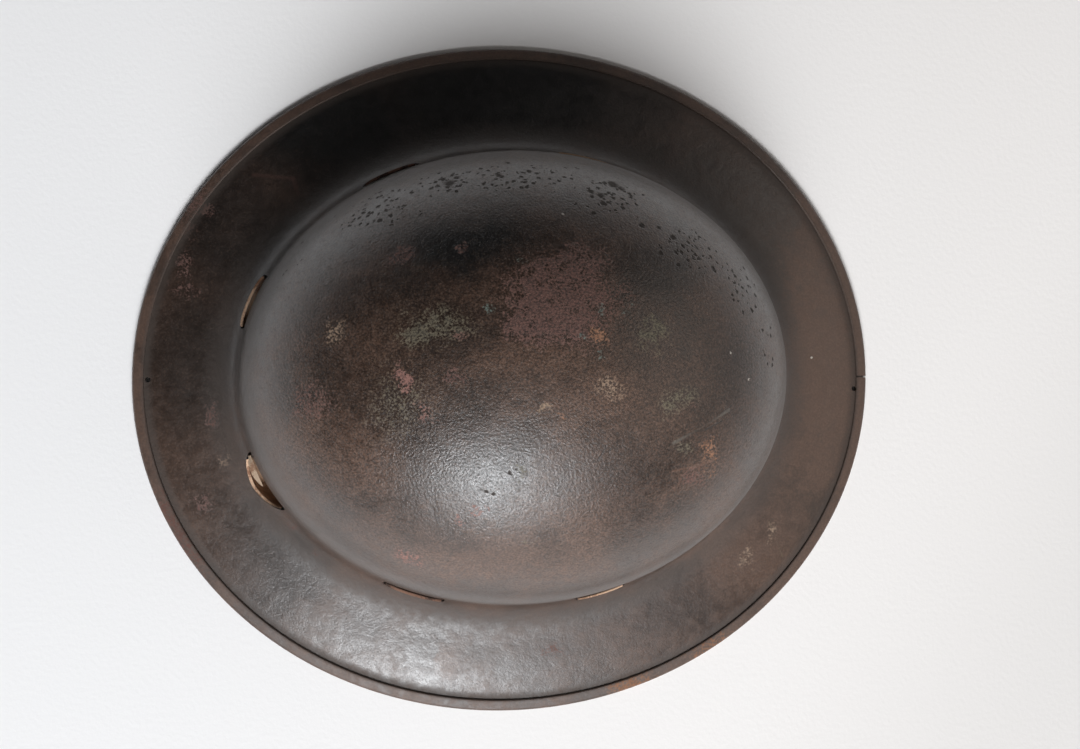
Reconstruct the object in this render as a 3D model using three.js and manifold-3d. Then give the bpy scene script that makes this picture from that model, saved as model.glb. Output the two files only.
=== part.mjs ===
// Brimmed steel combat helmet of the shallow-bowl kind, lying on its rim.
//
// A steel shell is pressed in one piece: an oval domed crown, a round fillet at the crown's foot and a
// sloping brim. A folded steel rim band clasps the brim's edge and meets itself in a butt joint at the
// back. Eight slots are pierced in the fillet. A leather sweatband lies inside the crown, and eight
// leather tongues run down its inside, under its lower edge and up through the slots.
//
// Frame: millimetres, +Z up, +X to the back of the helmet and along its length, origin on the surface
// that the helmet stands on, below the middle of the brim.

import * as THREE from "three";
import { mergeVertices } from "three/addons/utils/BufferGeometryUtils.js";
import Module from "manifold-3d";

const wasm = await Module();
wasm.setup();

// Driving dimensions of the pressed shell.
const brimLength = 312; // over the rim band, front to back
const brimWidth = 279; // over the rim band, side to side
const crownLength = 225; // outside of the crown's foot, front to back
const crownWidth = 186; // outside of the crown's foot, side to side
const crownRise = 79; // from the crown's foot to its top, outside
const crownFullness = 2.0; // exponent of the dome's outline: 2 is an ellipse, more is a fuller shoulder
const steelWall = 1.0;
const filletRadius = 17; // hollow round between the crown and the brim, on the upper face
const brimSlope = 18; // degrees below the horizontal
const brimBow = 0.6; // how far the middle of the brim stands above a straight slope

// Driving dimensions of the rim band and the drilled holes.
const bandWidth = 5.2;
const bandWall = 0.8;
const bandClearance = 0.3; // on each face of the brim
const bandSeat = 0.2; // how far the brim's edge reaches past the middle of the band's round nose
const bandJointGap = 0.7;
const bandJointAngle = -1.7; // degrees from the back of the helmet, where the two ends meet
const bandChamfer = 0.3; // on the free edges of the band
const holeDiameter = 2.2;

// Driving dimensions of the slots and the leather.
const slotLength = 24;
const slotWidth = 2.4;
const slotInset = 1.0; // from the crown's foot to the near edge of a slot
const slotEndShare = 0.15; // width of a slot's ends, as a share of its full width
const slotFullness = 3; // exponent of the slot's outline: 2 is a lens, more has blunter ends
const sweatbandWall = 2.0;
const sweatbandHeight = 34;
const sweatbandDrop = 4; // how far the lower edge hangs below the crown's foot
const leatherClearance = 0.3; // between the leather pieces and what they touch
const tongueWall = 1.2;
const tongueLengthShare = 0.78; // of the slot that the tongue comes out of
const tongueRise = 20; // from the crown's foot up the sweatband's inside
const tongueProud = 0.8; // how far its end stands above the steel

// The slots, one row each. Angle is in degrees round the crown's oval from the back. Length and opening
// are shares of slotLength and slotWidth: the fifth slot is sprung open.
const slotTable = [
  { angle: 25, length: 1.0, opening: 1.0 },
  { angle: 73, length: 1.0, opening: 1.0 },
  { angle: 115, length: 1.0, opening: 0.9 },
  { angle: 158.5, length: 1.0, opening: 1.1 },
  { angle: 204, length: 1.2, opening: 2.3 },
  { angle: 247, length: 1.1, opening: 1.0 },
  { angle: 287, length: 0.9, opening: 0.9 },
  { angle: 335, length: 1.0, opening: 1.0 },
];

// The two small holes drilled beside the rim band. Inset is from the band's outer edge, as a share of
// bandWidth: the one at the back nicks the band.
const holeTable = [
  { angle: -3.9, inset: 1.08 },
  { angle: 178.1, inset: 1.25 },
];

// Fineness of the facets.
const roundSteps = 72;
const crownSteps = 10;
const filletSteps = 4;
const brimSteps = 4;
const noseSteps = 3;
const slotSteps = 8;
const tongueSteps = 4;
const tongueTurnSteps = 4;
const holeSides = 16;

// Sizes that follow from the driving dimensions.
const radians = THREE.MathUtils.degToRad;
const footHalfLength = crownLength / 2;
const footHalfWidth = crownWidth / 2;
const footHalfMean = (footHalfLength + footHalfWidth) / 2;
const brimReachX = (brimLength - crownLength) / 2;
const brimReachY = (brimWidth - crownWidth) / 2;
const brimReach = (brimReachX + brimReachY) / 2;
const slope = radians(brimSlope);
const downBrim = new THREE.Vector2(Math.cos(slope), -Math.sin(slope)); // down the brim, outwards
const offBrim = new THREE.Vector2(Math.sin(slope), Math.cos(slope)); // out of the brim's upper face
const noseInner = steelWall / 2 + bandClearance;
const noseOuter = noseInner + bandWall;
const noseCentre = new THREE.Vector2(brimReach - noseOuter, noseOuter * Math.cos(slope));
const filletReach = filletRadius * (1 - Math.sin(slope));
const brimEdge = noseCentre.clone().addScaledVector(downBrim, bandSeat).addScaledVector(offBrim, steelWall / 2);
const filletEndHeight = brimEdge.y + (brimEdge.x - filletReach) * Math.tan(slope);
const footHeight = filletEndHeight + filletRadius * Math.cos(slope);
const bandStart = brimReach - bandWidth;

// Height of the fillet at a distance outside the crown's foot, on the face that lies depth inside it.
function filletHeight(distance, depth) {
  return footHeight - Math.sqrt((filletRadius + depth) ** 2 - (filletRadius - distance) ** 2);
}

// How far a point lies outside the crown's foot on one axis. Distance is measured down the mean brim:
// the fillet and the rim band keep their own size, and the brim between them takes up the difference.
function reach(distance, reachOnAxis) {
  if (distance <= filletReach) return distance;
  if (distance >= bandStart) return reachOnAxis - (brimReach - distance);
  const share = (distance - filletReach) / (bandStart - filletReach);
  return filletReach + share * (reachOnAxis - bandWidth - filletReach);
}

// An oval is a level ring of the helmet: its half length, half width and height.
function brimOval(distance, height) {
  return {
    halfLength: footHalfLength + reach(distance, brimReachX),
    halfWidth: footHalfWidth + reach(distance, brimReachY),
    height,
  };
}

// A ring of the smooth crown, rise above the foot, sunk by depth into the dome along its normal.
function smoothCrownOval(rise, depth) {
  const lift = Math.min(Math.max(rise / crownRise, 0), 1);
  const spread = Math.pow(1 - Math.pow(lift, crownFullness), 1 / crownFullness);
  const normal = new THREE.Vector2(
    Math.pow(spread, crownFullness - 1) / footHalfMean,
    Math.pow(lift, crownFullness - 1) / crownRise,
  ).normalize();
  return {
    halfLength: footHalfLength * spread - depth * normal.x,
    halfWidth: footHalfWidth * spread - depth * normal.x,
    height: footHeight + rise - depth * normal.y,
  };
}

// The rises at which the crown's facets meet, from its top down to its foot.
const crownRises = Array.from({ length: crownSteps + 1 }, (_, i) => {
  const turn = (Math.PI / 2) * (i / crownSteps);
  return i === crownSteps ? 0 : crownRise * Math.pow(Math.cos(turn), 2 / crownFullness);
});

// The same ring on the faceted crown, so that what lines the crown keeps its clearance. Below the foot
// the wall goes straight down.
function crownOval(rise, depth) {
  if (rise <= 0) return { ...smoothCrownOval(0, depth), height: footHeight + rise };
  const i = crownRises.findIndex((low) => low <= rise);
  if (i === 0) return smoothCrownOval(rise, depth);
  const [high, low] = [smoothCrownOval(crownRises[i - 1], depth), smoothCrownOval(crownRises[i], depth)];
  const share = (rise - crownRises[i]) / (crownRises[i - 1] - crownRises[i]);
  return {
    halfLength: THREE.MathUtils.lerp(low.halfLength, high.halfLength, share),
    halfWidth: THREE.MathUtils.lerp(low.halfWidth, high.halfWidth, share),
    height: THREE.MathUtils.lerp(low.height, high.height, share),
  };
}

// The rises at which what lines the crown bends, from its lower end to its upper one: at the crown's
// foot and at its facets.
function linerRises(low, high) {
  const between = crownRises.filter((rise) => rise > low && rise < high);
  return [low, ...between.reverse(), high];
}

// The shell's rings on one face, from the top of the crown to the brim's edge. Depth is 0 on the outer
// face and the wall's thickness on the inner one.
function shellFace(depth) {
  const rings = [{ halfLength: 0, halfWidth: 0, height: footHeight + crownRise - depth }];
  rings.push(...crownRises.slice(1).map((rise) => smoothCrownOval(rise, depth)));
  for (let i = 1; i <= filletSteps; i++) {
    const turn = (Math.PI / 2 - slope) * (i / filletSteps);
    const radius = filletRadius + depth;
    rings.push(brimOval(filletRadius - radius * Math.cos(turn), footHeight - radius * Math.sin(turn)));
  }
  for (let i = 1; i <= brimSteps; i++) {
    const share = i / brimSteps;
    const bow = brimBow * Math.pow(Math.sin(Math.PI * share), 2);
    const distance = THREE.MathUtils.lerp(filletReach, brimEdge.x, share);
    const height = THREE.MathUtils.lerp(filletEndHeight, brimEdge.y, share) + bow;
    rings.push(brimOval(distance - depth * offBrim.x, height - depth * offBrim.y));
  }
  return rings;
}

// Sweeps a section round the helmet's oval. sectionAt(share) gives the section's rings at a share of the
// way from one angle to the other, counter-clockwise with the outward direction to the right. A full turn
// closes on itself, and a part turn has flat ends.
function sweep(sectionAt, fromAngle, toAngle, steps, { fullTurn = false, onAxis = false } = {}) {
  const stations = fullTurn ? steps : steps + 1;
  const count = sectionAt(0).length;
  const positions = [];
  for (let j = 0; j < stations; j++) {
    const share = j / steps;
    const angle = radians(THREE.MathUtils.lerp(fromAngle, toAngle, share));
    for (const ring of sectionAt(share)) {
      positions.push(ring.halfLength * Math.cos(angle), ring.halfWidth * Math.sin(angle), ring.height);
    }
  }
  const faces = [];
  const sides = onAxis ? count - 1 : count;
  for (let j = 0; j < steps; j++) {
    const here = j * count;
    const next = ((j + 1) % stations) * count;
    for (let i = 0; i < sides; i++) {
      const k = (i + 1) % count;
      faces.push(here + i, next + i, next + k, here + i, next + k, here + k);
    }
  }
  if (!fullTurn) {
    const last = (stations - 1) * count;
    faces.push(...endFaces(sectionAt(0)).flatMap(([a, b, c]) => [a, b, c]));
    faces.push(...endFaces(sectionAt(1)).flatMap(([a, b, c]) => [last + a, last + c, last + b]));
  }
  return closedMesh(positions, faces);
}

// Triangles that fill a section, for the flat ends of a part turn.
function endFaces(section) {
  const outline = section.map((ring) => new THREE.Vector2(ring.halfLength, ring.height));
  return THREE.ShapeUtils.triangulateShape(outline, []);
}

// A geometry with shared vertices merged and collapsed triangles dropped, as a cutting solid needs.
function closedMesh(positions, faces) {
  const raw = new THREE.BufferGeometry();
  raw.setAttribute("position", new THREE.Float32BufferAttribute(positions, 3));
  raw.setIndex(faces);
  const merged = mergeVertices(raw, 1e-4);
  const index = merged.index.array;
  const kept = [];
  for (let i = 0; i < index.length; i += 3) {
    const [a, b, c] = [index[i], index[i + 1], index[i + 2]];
    if (a !== b && b !== c && c !== a) kept.push(a, b, c);
  }
  merged.setIndex(kept);
  return merged;
}

function toSolid(geometry) {
  return new wasm.Manifold(
    new wasm.Mesh({
      numProp: 3,
      vertProperties: new Float32Array(geometry.attributes.position.array),
      triVerts: new Uint32Array(geometry.index.array),
    }),
  );
}

function fromSolid(solid) {
  const mesh = solid.getMesh();
  const geometry = new THREE.BufferGeometry();
  geometry.setAttribute("position", new THREE.Float32BufferAttribute(mesh.vertProperties, 3));
  geometry.setIndex(Array.from(mesh.triVerts));
  geometry.computeVertexNormals();
  return geometry;
}

// Half the turn, in degrees, that a length takes at an angle of the crown's foot.
function halfTurn(length, angle) {
  const tangent = Math.hypot(
    footHalfLength * Math.sin(radians(angle)),
    footHalfWidth * Math.cos(radians(angle)),
  );
  return THREE.MathUtils.radToDeg(length / 2 / tangent);
}

// How wide a slot stands open at a share of its length, from its near edge. It follows the slot's own
// facets, so that the tongue in it keeps its clearance.
function slotOpening(slot, share) {
  const openShare = (station) => {
    const fromMiddle = Math.abs((2 * station) / slotSteps - 1);
    return Math.max(Math.pow(1 - Math.pow(fromMiddle, slotFullness), 1 / slotFullness), slotEndShare);
  };
  const facet = Math.min(Math.floor(share * slotSteps), slotSteps - 1);
  const past = share * slotSteps - facet;
  return slotWidth * slot.opening * THREE.MathUtils.lerp(openShare(facet), openShare(facet + 1), past);
}

// The upright solid that pierces one slot through the fillet.
function slotCutter(slot) {
  const half = halfTurn(slotLength * slot.length, slot.angle);
  const low = footHeight - filletRadius - 2 * steelWall;
  const sectionAt = (share) => {
    const far = slotInset + slotOpening(slot, share);
    return [
      brimOval(slotInset, low),
      brimOval(far, low),
      brimOval(far, footHeight),
      brimOval(slotInset, footHeight),
    ];
  };
  return toSolid(sweep(sectionAt, slot.angle - half, slot.angle + half, slotSteps));
}

// The upright drill that makes one hole beside the rim band.
function holeDrill(hole) {
  const angle = radians(hole.angle);
  const inset = bandWidth * hole.inset;
  const drill = new THREE.CylinderGeometry(holeDiameter / 2, holeDiameter / 2, footHeight, holeSides);
  drill.rotateX(Math.PI / 2);
  drill.translate(
    (brimLength / 2 - inset) * Math.cos(angle),
    (brimWidth / 2 - inset) * Math.sin(angle),
    footHeight / 2,
  );
  drill.deleteAttribute("normal");
  drill.deleteAttribute("uv");
  return toSolid(mergeVertices(drill, 1e-4));
}

// The pressed steel shell, with its slots and holes.
function buildShell(drills) {
  const rings = [...shellFace(steelWall), ...shellFace(0).reverse()];
  let shell = toSolid(sweep(() => rings, 0, 360, roundSteps, { fullTurn: true, onAxis: true }));
  for (const slot of slotTable) shell = shell.subtract(slotCutter(slot));
  for (const drill of drills) shell = shell.subtract(drill);
  return fromSolid(shell);
}

// A point of the rim band's section: u runs down the brim from the middle of the nose, w up out of it.
function bandPoint(u, w) {
  const point = noseCentre.clone().addScaledVector(downBrim, u).addScaledVector(offBrim, w);
  return brimOval(point.x, point.y);
}

// A point on the band's round nose. The last two angles lie either side of straight down, so that the
// outer face between them is level and the helmet stands on it.
function noseRound(radius) {
  const angles = [];
  for (let i = 0; i <= noseSteps; i++) {
    angles.push(THREE.MathUtils.lerp(Math.PI / 2 - slope, slope - Math.PI / 2, i / noseSteps));
  }
  angles.push(-Math.PI / 2 - slope);
  return angles.map((angle) =>
    brimOval(noseCentre.x + radius * Math.cos(angle), noseCentre.y + radius * Math.sin(angle)),
  );
}

// The folded steel band round the brim's edge, open at its joint and nicked by a drill.
function buildRimBand(drills) {
  const legEnd = noseOuter - bandWidth;
  const section = [
    bandPoint(legEnd, noseInner),
    ...noseRound(noseInner),
    bandPoint(legEnd, -noseInner),
    bandPoint(legEnd, -noseOuter + bandChamfer),
    bandPoint(legEnd + bandChamfer, -noseOuter),
    ...noseRound(noseOuter).reverse(),
    bandPoint(legEnd + bandChamfer, noseOuter),
    bandPoint(legEnd, noseOuter - bandChamfer),
  ];
  const halfGap = THREE.MathUtils.radToDeg(bandJointGap / brimWidth);
  const start = bandJointAngle + halfGap;
  const end = bandJointAngle + 360 - halfGap;
  let band = toSolid(sweep(() => section, start, end, roundSteps));
  for (const drill of drills) band = band.subtract(drill);
  return fromSolid(band);
}

// The leather sweatband, a plain hoop that follows the crown's wall.
function buildSweatband() {
  const outerDepth = steelWall + leatherClearance;
  const rises = linerRises(-sweatbandDrop, sweatbandHeight - sweatbandDrop);
  const face = (depth) => rises.map((rise) => crownOval(rise, depth));
  const section = [...face(outerDepth), ...face(outerDepth + sweatbandWall).reverse()];
  return sweep(() => section, 0, 360, roundSteps, { fullTurn: true });
}

// One leather tongue: down the sweatband's inside, round under its lower edge and up through a slot,
// with its end just proud of the steel.
function buildTongue(slot) {
  const innerFace = steelWall + sweatbandWall + 2 * leatherClearance;
  const innerMiddle = innerFace + tongueWall / 2;
  const half = halfTurn(slotLength * slot.length * tongueLengthShare, slot.angle);
  const rises = linerRises(0, tongueRise);
  const sectionAt = (share) => {
    const shareOfSlot = 0.5 + (share - 0.5) * tongueLengthShare;
    const outerMiddle = slotInset + slotOpening(slot, shareOfSlot) - leatherClearance - tongueWall / 2;
    const endHeight = filletHeight(outerMiddle, 0) + tongueProud;
    const turnHeight = filletHeight(outerMiddle, steelWall) - leatherClearance;
    const turnCentre = (outerMiddle - innerMiddle) / 2;
    const turnRadius = (outerMiddle + innerMiddle) / 2;
    const turn = (radius) =>
      Array.from({ length: tongueTurnSteps + 1 }, (_, i) => {
        const angle = Math.PI * (1 + i / tongueTurnSteps);
        return brimOval(turnCentre + radius * Math.cos(angle), turnHeight + radius * Math.sin(angle));
      });
    return [
      ...rises.toReversed().map((rise) => crownOval(rise, innerFace + tongueWall)),
      ...turn(turnRadius + tongueWall / 2),
      brimOval(outerMiddle + tongueWall / 2, endHeight),
      brimOval(outerMiddle - tongueWall / 2, endHeight),
      ...turn(turnRadius - tongueWall / 2).reverse(),
      ...rises.map((rise) => crownOval(rise, innerFace)),
    ];
  };
  return sweep(sectionAt, slot.angle - half, slot.angle + half, tongueSteps);
}

const agedSteel = new THREE.MeshStandardMaterial({ color: 0x3b302b, roughness: 0.42, metalness: 0.75 });
const bandSteel = new THREE.MeshStandardMaterial({ color: 0x40332d, roughness: 0.5, metalness: 0.7 });
const tanLeather = new THREE.MeshStandardMaterial({ color: 0xa07a5a, roughness: 0.7, metalness: 0 });

const helmet = new THREE.Group();

function addPiece(name, geometry, material) {
  geometry.computeVertexNormals();
  const piece = new THREE.Mesh(geometry, material);
  piece.name = name;
  helmet.add(piece);
}

const drills = holeTable.map(holeDrill);
addPiece("shell", buildShell(drills), agedSteel);
addPiece("rim_band", buildRimBand(drills), bandSteel);
addPiece("sweatband", buildSweatband(), tanLeather);
slotTable.forEach((slot, i) => addPiece(`liner_tongue_${i + 1}`, buildTongue(slot), tanLeather));

export default helmet;
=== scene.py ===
"""Looks of a brimmed steel combat helmet that lies on its rim, seen from almost straight above.

The frame is the CAD one: metres, +Z up, +X to the back of the helmet, origin on the standing surface.
The pieces are a pressed shell, a folded rim band, a leather sweatband and eight leather tongues, each in
place of the CAD node of its name.
"""

import logging
import math
from dataclasses import dataclass, field
from enum import Enum
from typing import Callable, Iterable, Sequence

import bpy
from mathutils import Matrix, Vector


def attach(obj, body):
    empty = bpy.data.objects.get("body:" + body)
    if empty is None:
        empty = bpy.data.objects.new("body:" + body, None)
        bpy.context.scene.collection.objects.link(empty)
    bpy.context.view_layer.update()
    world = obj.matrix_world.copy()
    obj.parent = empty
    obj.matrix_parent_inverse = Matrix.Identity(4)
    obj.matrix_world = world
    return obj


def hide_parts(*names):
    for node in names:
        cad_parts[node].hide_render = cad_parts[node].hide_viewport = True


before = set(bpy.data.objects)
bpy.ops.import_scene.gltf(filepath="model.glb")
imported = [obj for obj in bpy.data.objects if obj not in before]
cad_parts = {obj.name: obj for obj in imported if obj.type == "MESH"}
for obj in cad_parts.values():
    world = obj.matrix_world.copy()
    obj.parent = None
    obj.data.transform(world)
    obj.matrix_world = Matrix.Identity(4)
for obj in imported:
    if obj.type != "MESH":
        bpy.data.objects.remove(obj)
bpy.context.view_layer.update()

log = logging.getLogger("helmet")

MM = 0.001
FINE_STEPS = 1440
WELD_DISTANCE = 0.002 * MM
CUTTER_HEIGHT = 30 * MM
LEATHER_SMOOTH_BELOW = 60.0
LEATHER_SOFT_OVER = math.radians(50)
Colour = tuple[float, float, float]
Socket = bpy.types.NodeSocket


@dataclass(frozen=True)
class Oval:
    """A level ring of the helmet: its half length, half width and height."""

    half_length: float
    half_width: float
    height: float


@dataclass(frozen=True)
class Turn:
    """A part of the way round the helmet, in degrees from its back."""

    start: float
    end: float

    def holds(self, angle: float) -> bool:
        """Whether an angle in degrees lies in the turn."""
        return (angle - self.start) % 360.0 <= self.end - self.start + 1e-6


@dataclass(frozen=True)
class HelmetForm:
    """The pressed shell's sizes, the same as in the CAD, and the rings that follow from them."""

    brim_length: float = 312 * MM
    brim_width: float = 279 * MM
    crown_length: float = 225 * MM
    crown_width: float = 186 * MM
    crown_rise: float = 79 * MM
    steel_wall: float = 1.0 * MM
    fillet_radius: float = 17 * MM
    brim_slope: float = math.radians(18)
    brim_bow: float = 0.6 * MM
    band_width: float = 5.2 * MM
    band_wall: float = 0.8 * MM
    band_clearance: float = 0.3 * MM
    band_seat: float = 0.2 * MM

    @property
    def foot_half_length(self) -> float:
        """Half the crown's length at its foot."""
        return self.crown_length / 2

    @property
    def foot_half_width(self) -> float:
        """Half the crown's width at its foot."""
        return self.crown_width / 2

    @property
    def reach_x(self) -> float:
        """How far the brim reaches past the crown's foot along the helmet."""
        return (self.brim_length - self.crown_length) / 2

    @property
    def reach_y(self) -> float:
        """How far the brim reaches past the crown's foot across the helmet."""
        return (self.brim_width - self.crown_width) / 2

    @property
    def mean_reach(self) -> float:
        """The mean of the two reaches, along which distances down the brim are measured."""
        return (self.reach_x + self.reach_y) / 2

    @property
    def nose_inner(self) -> float:
        """Radius of the band's round nose on its inner face."""
        return self.steel_wall / 2 + self.band_clearance

    @property
    def nose_outer(self) -> float:
        """Radius of the band's round nose on its outer face."""
        return self.nose_inner + self.band_wall

    @property
    def nose_centre(self) -> Vector:
        """Middle of the band's round nose: distance outwards and height."""
        return Vector((self.mean_reach - self.nose_outer, self.nose_outer * math.cos(self.brim_slope)))

    @property
    def down_brim(self) -> Vector:
        """Direction down the brim, outwards."""
        return Vector((math.cos(self.brim_slope), -math.sin(self.brim_slope)))

    @property
    def off_brim(self) -> Vector:
        """Direction out of the brim's upper face."""
        return Vector((math.sin(self.brim_slope), math.cos(self.brim_slope)))

    @property
    def fillet_reach(self) -> float:
        """Distance at which the fillet meets the brim."""
        return self.fillet_radius * (1 - math.sin(self.brim_slope))

    @property
    def brim_edge(self) -> Vector:
        """The upper edge of the bare brim, under the band."""
        return self.nose_centre + self.down_brim * self.band_seat + self.off_brim * (self.steel_wall / 2)

    @property
    def fillet_end_height(self) -> float:
        """Height at which the fillet meets the brim."""
        return self.brim_edge.y + (self.brim_edge.x - self.fillet_reach) * math.tan(self.brim_slope)

    @property
    def foot_height(self) -> float:
        """Height of the crown's foot, where the fillet begins."""
        return self.fillet_end_height + self.fillet_radius * math.cos(self.brim_slope)

    @property
    def band_inner_length(self) -> float:
        """Half the length of the band's inner edge."""
        return self.brim_length / 2 - self.band_width

    @property
    def band_inner_width(self) -> float:
        """Half the width of the band's inner edge."""
        return self.brim_width / 2 - self.band_width

    def reach(self, distance: float, reach_on_axis: float) -> float:
        """How far a point lies outside the crown's foot on one axis.

        Args:
            distance: distance from the foot, measured along the mean reach.
            reach_on_axis: the brim's whole reach on that axis.

        Returns:
            The distance on the axis. The fillet and the band keep their size.
        """
        band_start = self.mean_reach - self.band_width
        if distance <= self.fillet_reach:
            return distance
        if distance >= band_start:
            return reach_on_axis - (self.mean_reach - distance)
        share = (distance - self.fillet_reach) / (band_start - self.fillet_reach)
        return self.fillet_reach + share * (reach_on_axis - self.band_width - self.fillet_reach)

    def brim_oval(self, distance: float, height: float) -> Oval:
        """The oval at a distance outside the crown's foot, at a height."""
        return Oval(
            self.foot_half_length + self.reach(distance, self.reach_x),
            self.foot_half_width + self.reach(distance, self.reach_y),
            height,
        )

    def crown_oval(self, rise: float, depth: float) -> Oval:
        """A ring of the crown, rise above its foot, sunk by depth into the dome.

        Args:
            rise: height above the crown's foot. Below the foot the wall goes straight down.
            depth: how far inside the crown's outer face the ring lies.

        Returns:
            The ring.
        """
        lift = min(max(rise / self.crown_rise, 0.0), 1.0)
        spread = math.sqrt(1 - lift * lift)
        mean_half = (self.foot_half_length + self.foot_half_width) / 2
        normal = Vector((spread / mean_half, lift / self.crown_rise)).normalized()
        return Oval(
            self.foot_half_length * spread - depth * normal.x,
            self.foot_half_width * spread - depth * normal.x,
            self.foot_height + rise - depth * normal.y,
        )

    def fillet_height(self, distance: float, depth: float) -> float:
        """Height of the fillet at a distance from the foot, on the face that lies depth inside it."""
        radius = self.fillet_radius + depth
        return self.foot_height - math.sqrt(radius**2 - (self.fillet_radius - distance) ** 2)

    def face_rings(self, depth: float, crown_steps: int, fillet_steps: int, brim_steps: int) -> list[Oval]:
        """The shell's rings on one face, from just beside the top of the crown to the brim's edge.

        Args:
            depth: 0 on the outer face and the wall's thickness on the inner one.
            crown_steps: rings on the dome.
            fillet_steps: rings on the fillet.
            brim_steps: rings on the brim.

        Returns:
            The rings in order.
        """
        rings = []
        for i in range(crown_steps + 1):
            turn = (math.pi / 2) * max(i, 0.12) / crown_steps
            rings.append(self.crown_oval(self.crown_rise * math.cos(turn), depth))
        for i in range(1, fillet_steps + 1):
            turn = (math.pi / 2 - self.brim_slope) * i / fillet_steps
            radius = self.fillet_radius + depth
            distance = self.fillet_radius - radius * math.cos(turn)
            rings.append(self.brim_oval(distance, self.foot_height - radius * math.sin(turn)))
        for i in range(1, brim_steps + 1):
            share = i / brim_steps
            bow = self.brim_bow * math.sin(math.pi * share) ** 2
            distance = self.fillet_reach + share * (self.brim_edge.x - self.fillet_reach)
            height = self.fillet_end_height + share * (self.brim_edge.y - self.fillet_end_height) + bow
            rings.append(self.brim_oval(distance - depth * self.off_brim.x, height - depth * self.off_brim.y))
        return rings

    def on_surface(self, x: float, y: float) -> Vector:
        """The point of the shell's upper face above or below a place in plan.

        Args:
            x: place along the helmet.
            y: place across the helmet.

        Returns:
            The point on the crown, the fillet or the brim.
        """
        inside = 1 - (x / self.foot_half_length) ** 2 - (y / self.foot_half_width) ** 2
        if inside > 0:
            return Vector((x, y, self.foot_height + self.crown_rise * math.sqrt(inside)))
        near, far = 0.0, self.mean_reach
        for _ in range(30):
            middle = (near + far) / 2
            oval = self.brim_oval(middle, 0.0)
            outside = (x / oval.half_length) ** 2 + (y / oval.half_width) ** 2 > 1
            near, far = (middle, far) if outside else (near, middle)
        if near < self.fillet_reach:
            return Vector((x, y, self.fillet_height(near, 0.0)))
        share = (near - self.fillet_reach) / (self.brim_edge.x - self.fillet_reach)
        return Vector((x, y, self.fillet_end_height + share * (self.brim_edge.y - self.fillet_end_height)))

    def rim_point(self, angle: float, inset: float = 0.0) -> Vector:
        """The point on the standing surface below the rim, at an angle in degrees and an inset."""
        turn = math.radians(angle)
        along = (self.brim_length / 2 - inset) * math.cos(turn)
        across = (self.brim_width / 2 - inset) * math.sin(turn)
        return Vector((along, across, 0.0))

    def half_turn(self, length: float, angle: float) -> float:
        """Half the turn, in degrees, that a length takes at an angle of the crown's foot."""
        tangent = math.hypot(
            self.foot_half_length * math.sin(math.radians(angle)),
            self.foot_half_width * math.cos(math.radians(angle)),
        )
        return math.degrees(length / 2 / tangent)

    def beside_foot(self, point: Vector) -> tuple[float, Vector]:
        """How far outside the crown's foot a point lies in plan, and the direction away from it."""
        turn = math.atan2(point.y / self.foot_half_width, point.x / self.foot_half_length)
        away = Vector((math.cos(turn) / self.foot_half_length, math.sin(turn) / self.foot_half_width))
        away.normalize()
        foot = Vector((self.foot_half_length * math.cos(turn), self.foot_half_width * math.sin(turn)))
        return (point.xy - foot).dot(away), away

    def turn_angle(self, point: Vector, outside: float) -> float:
        """The angle in degrees, from the back, of a point that lies outside the crown's foot."""
        return math.degrees(
            math.atan2(
                point.y / (self.foot_half_width + outside),
                point.x / (self.foot_half_length + outside),
            )
        )


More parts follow.
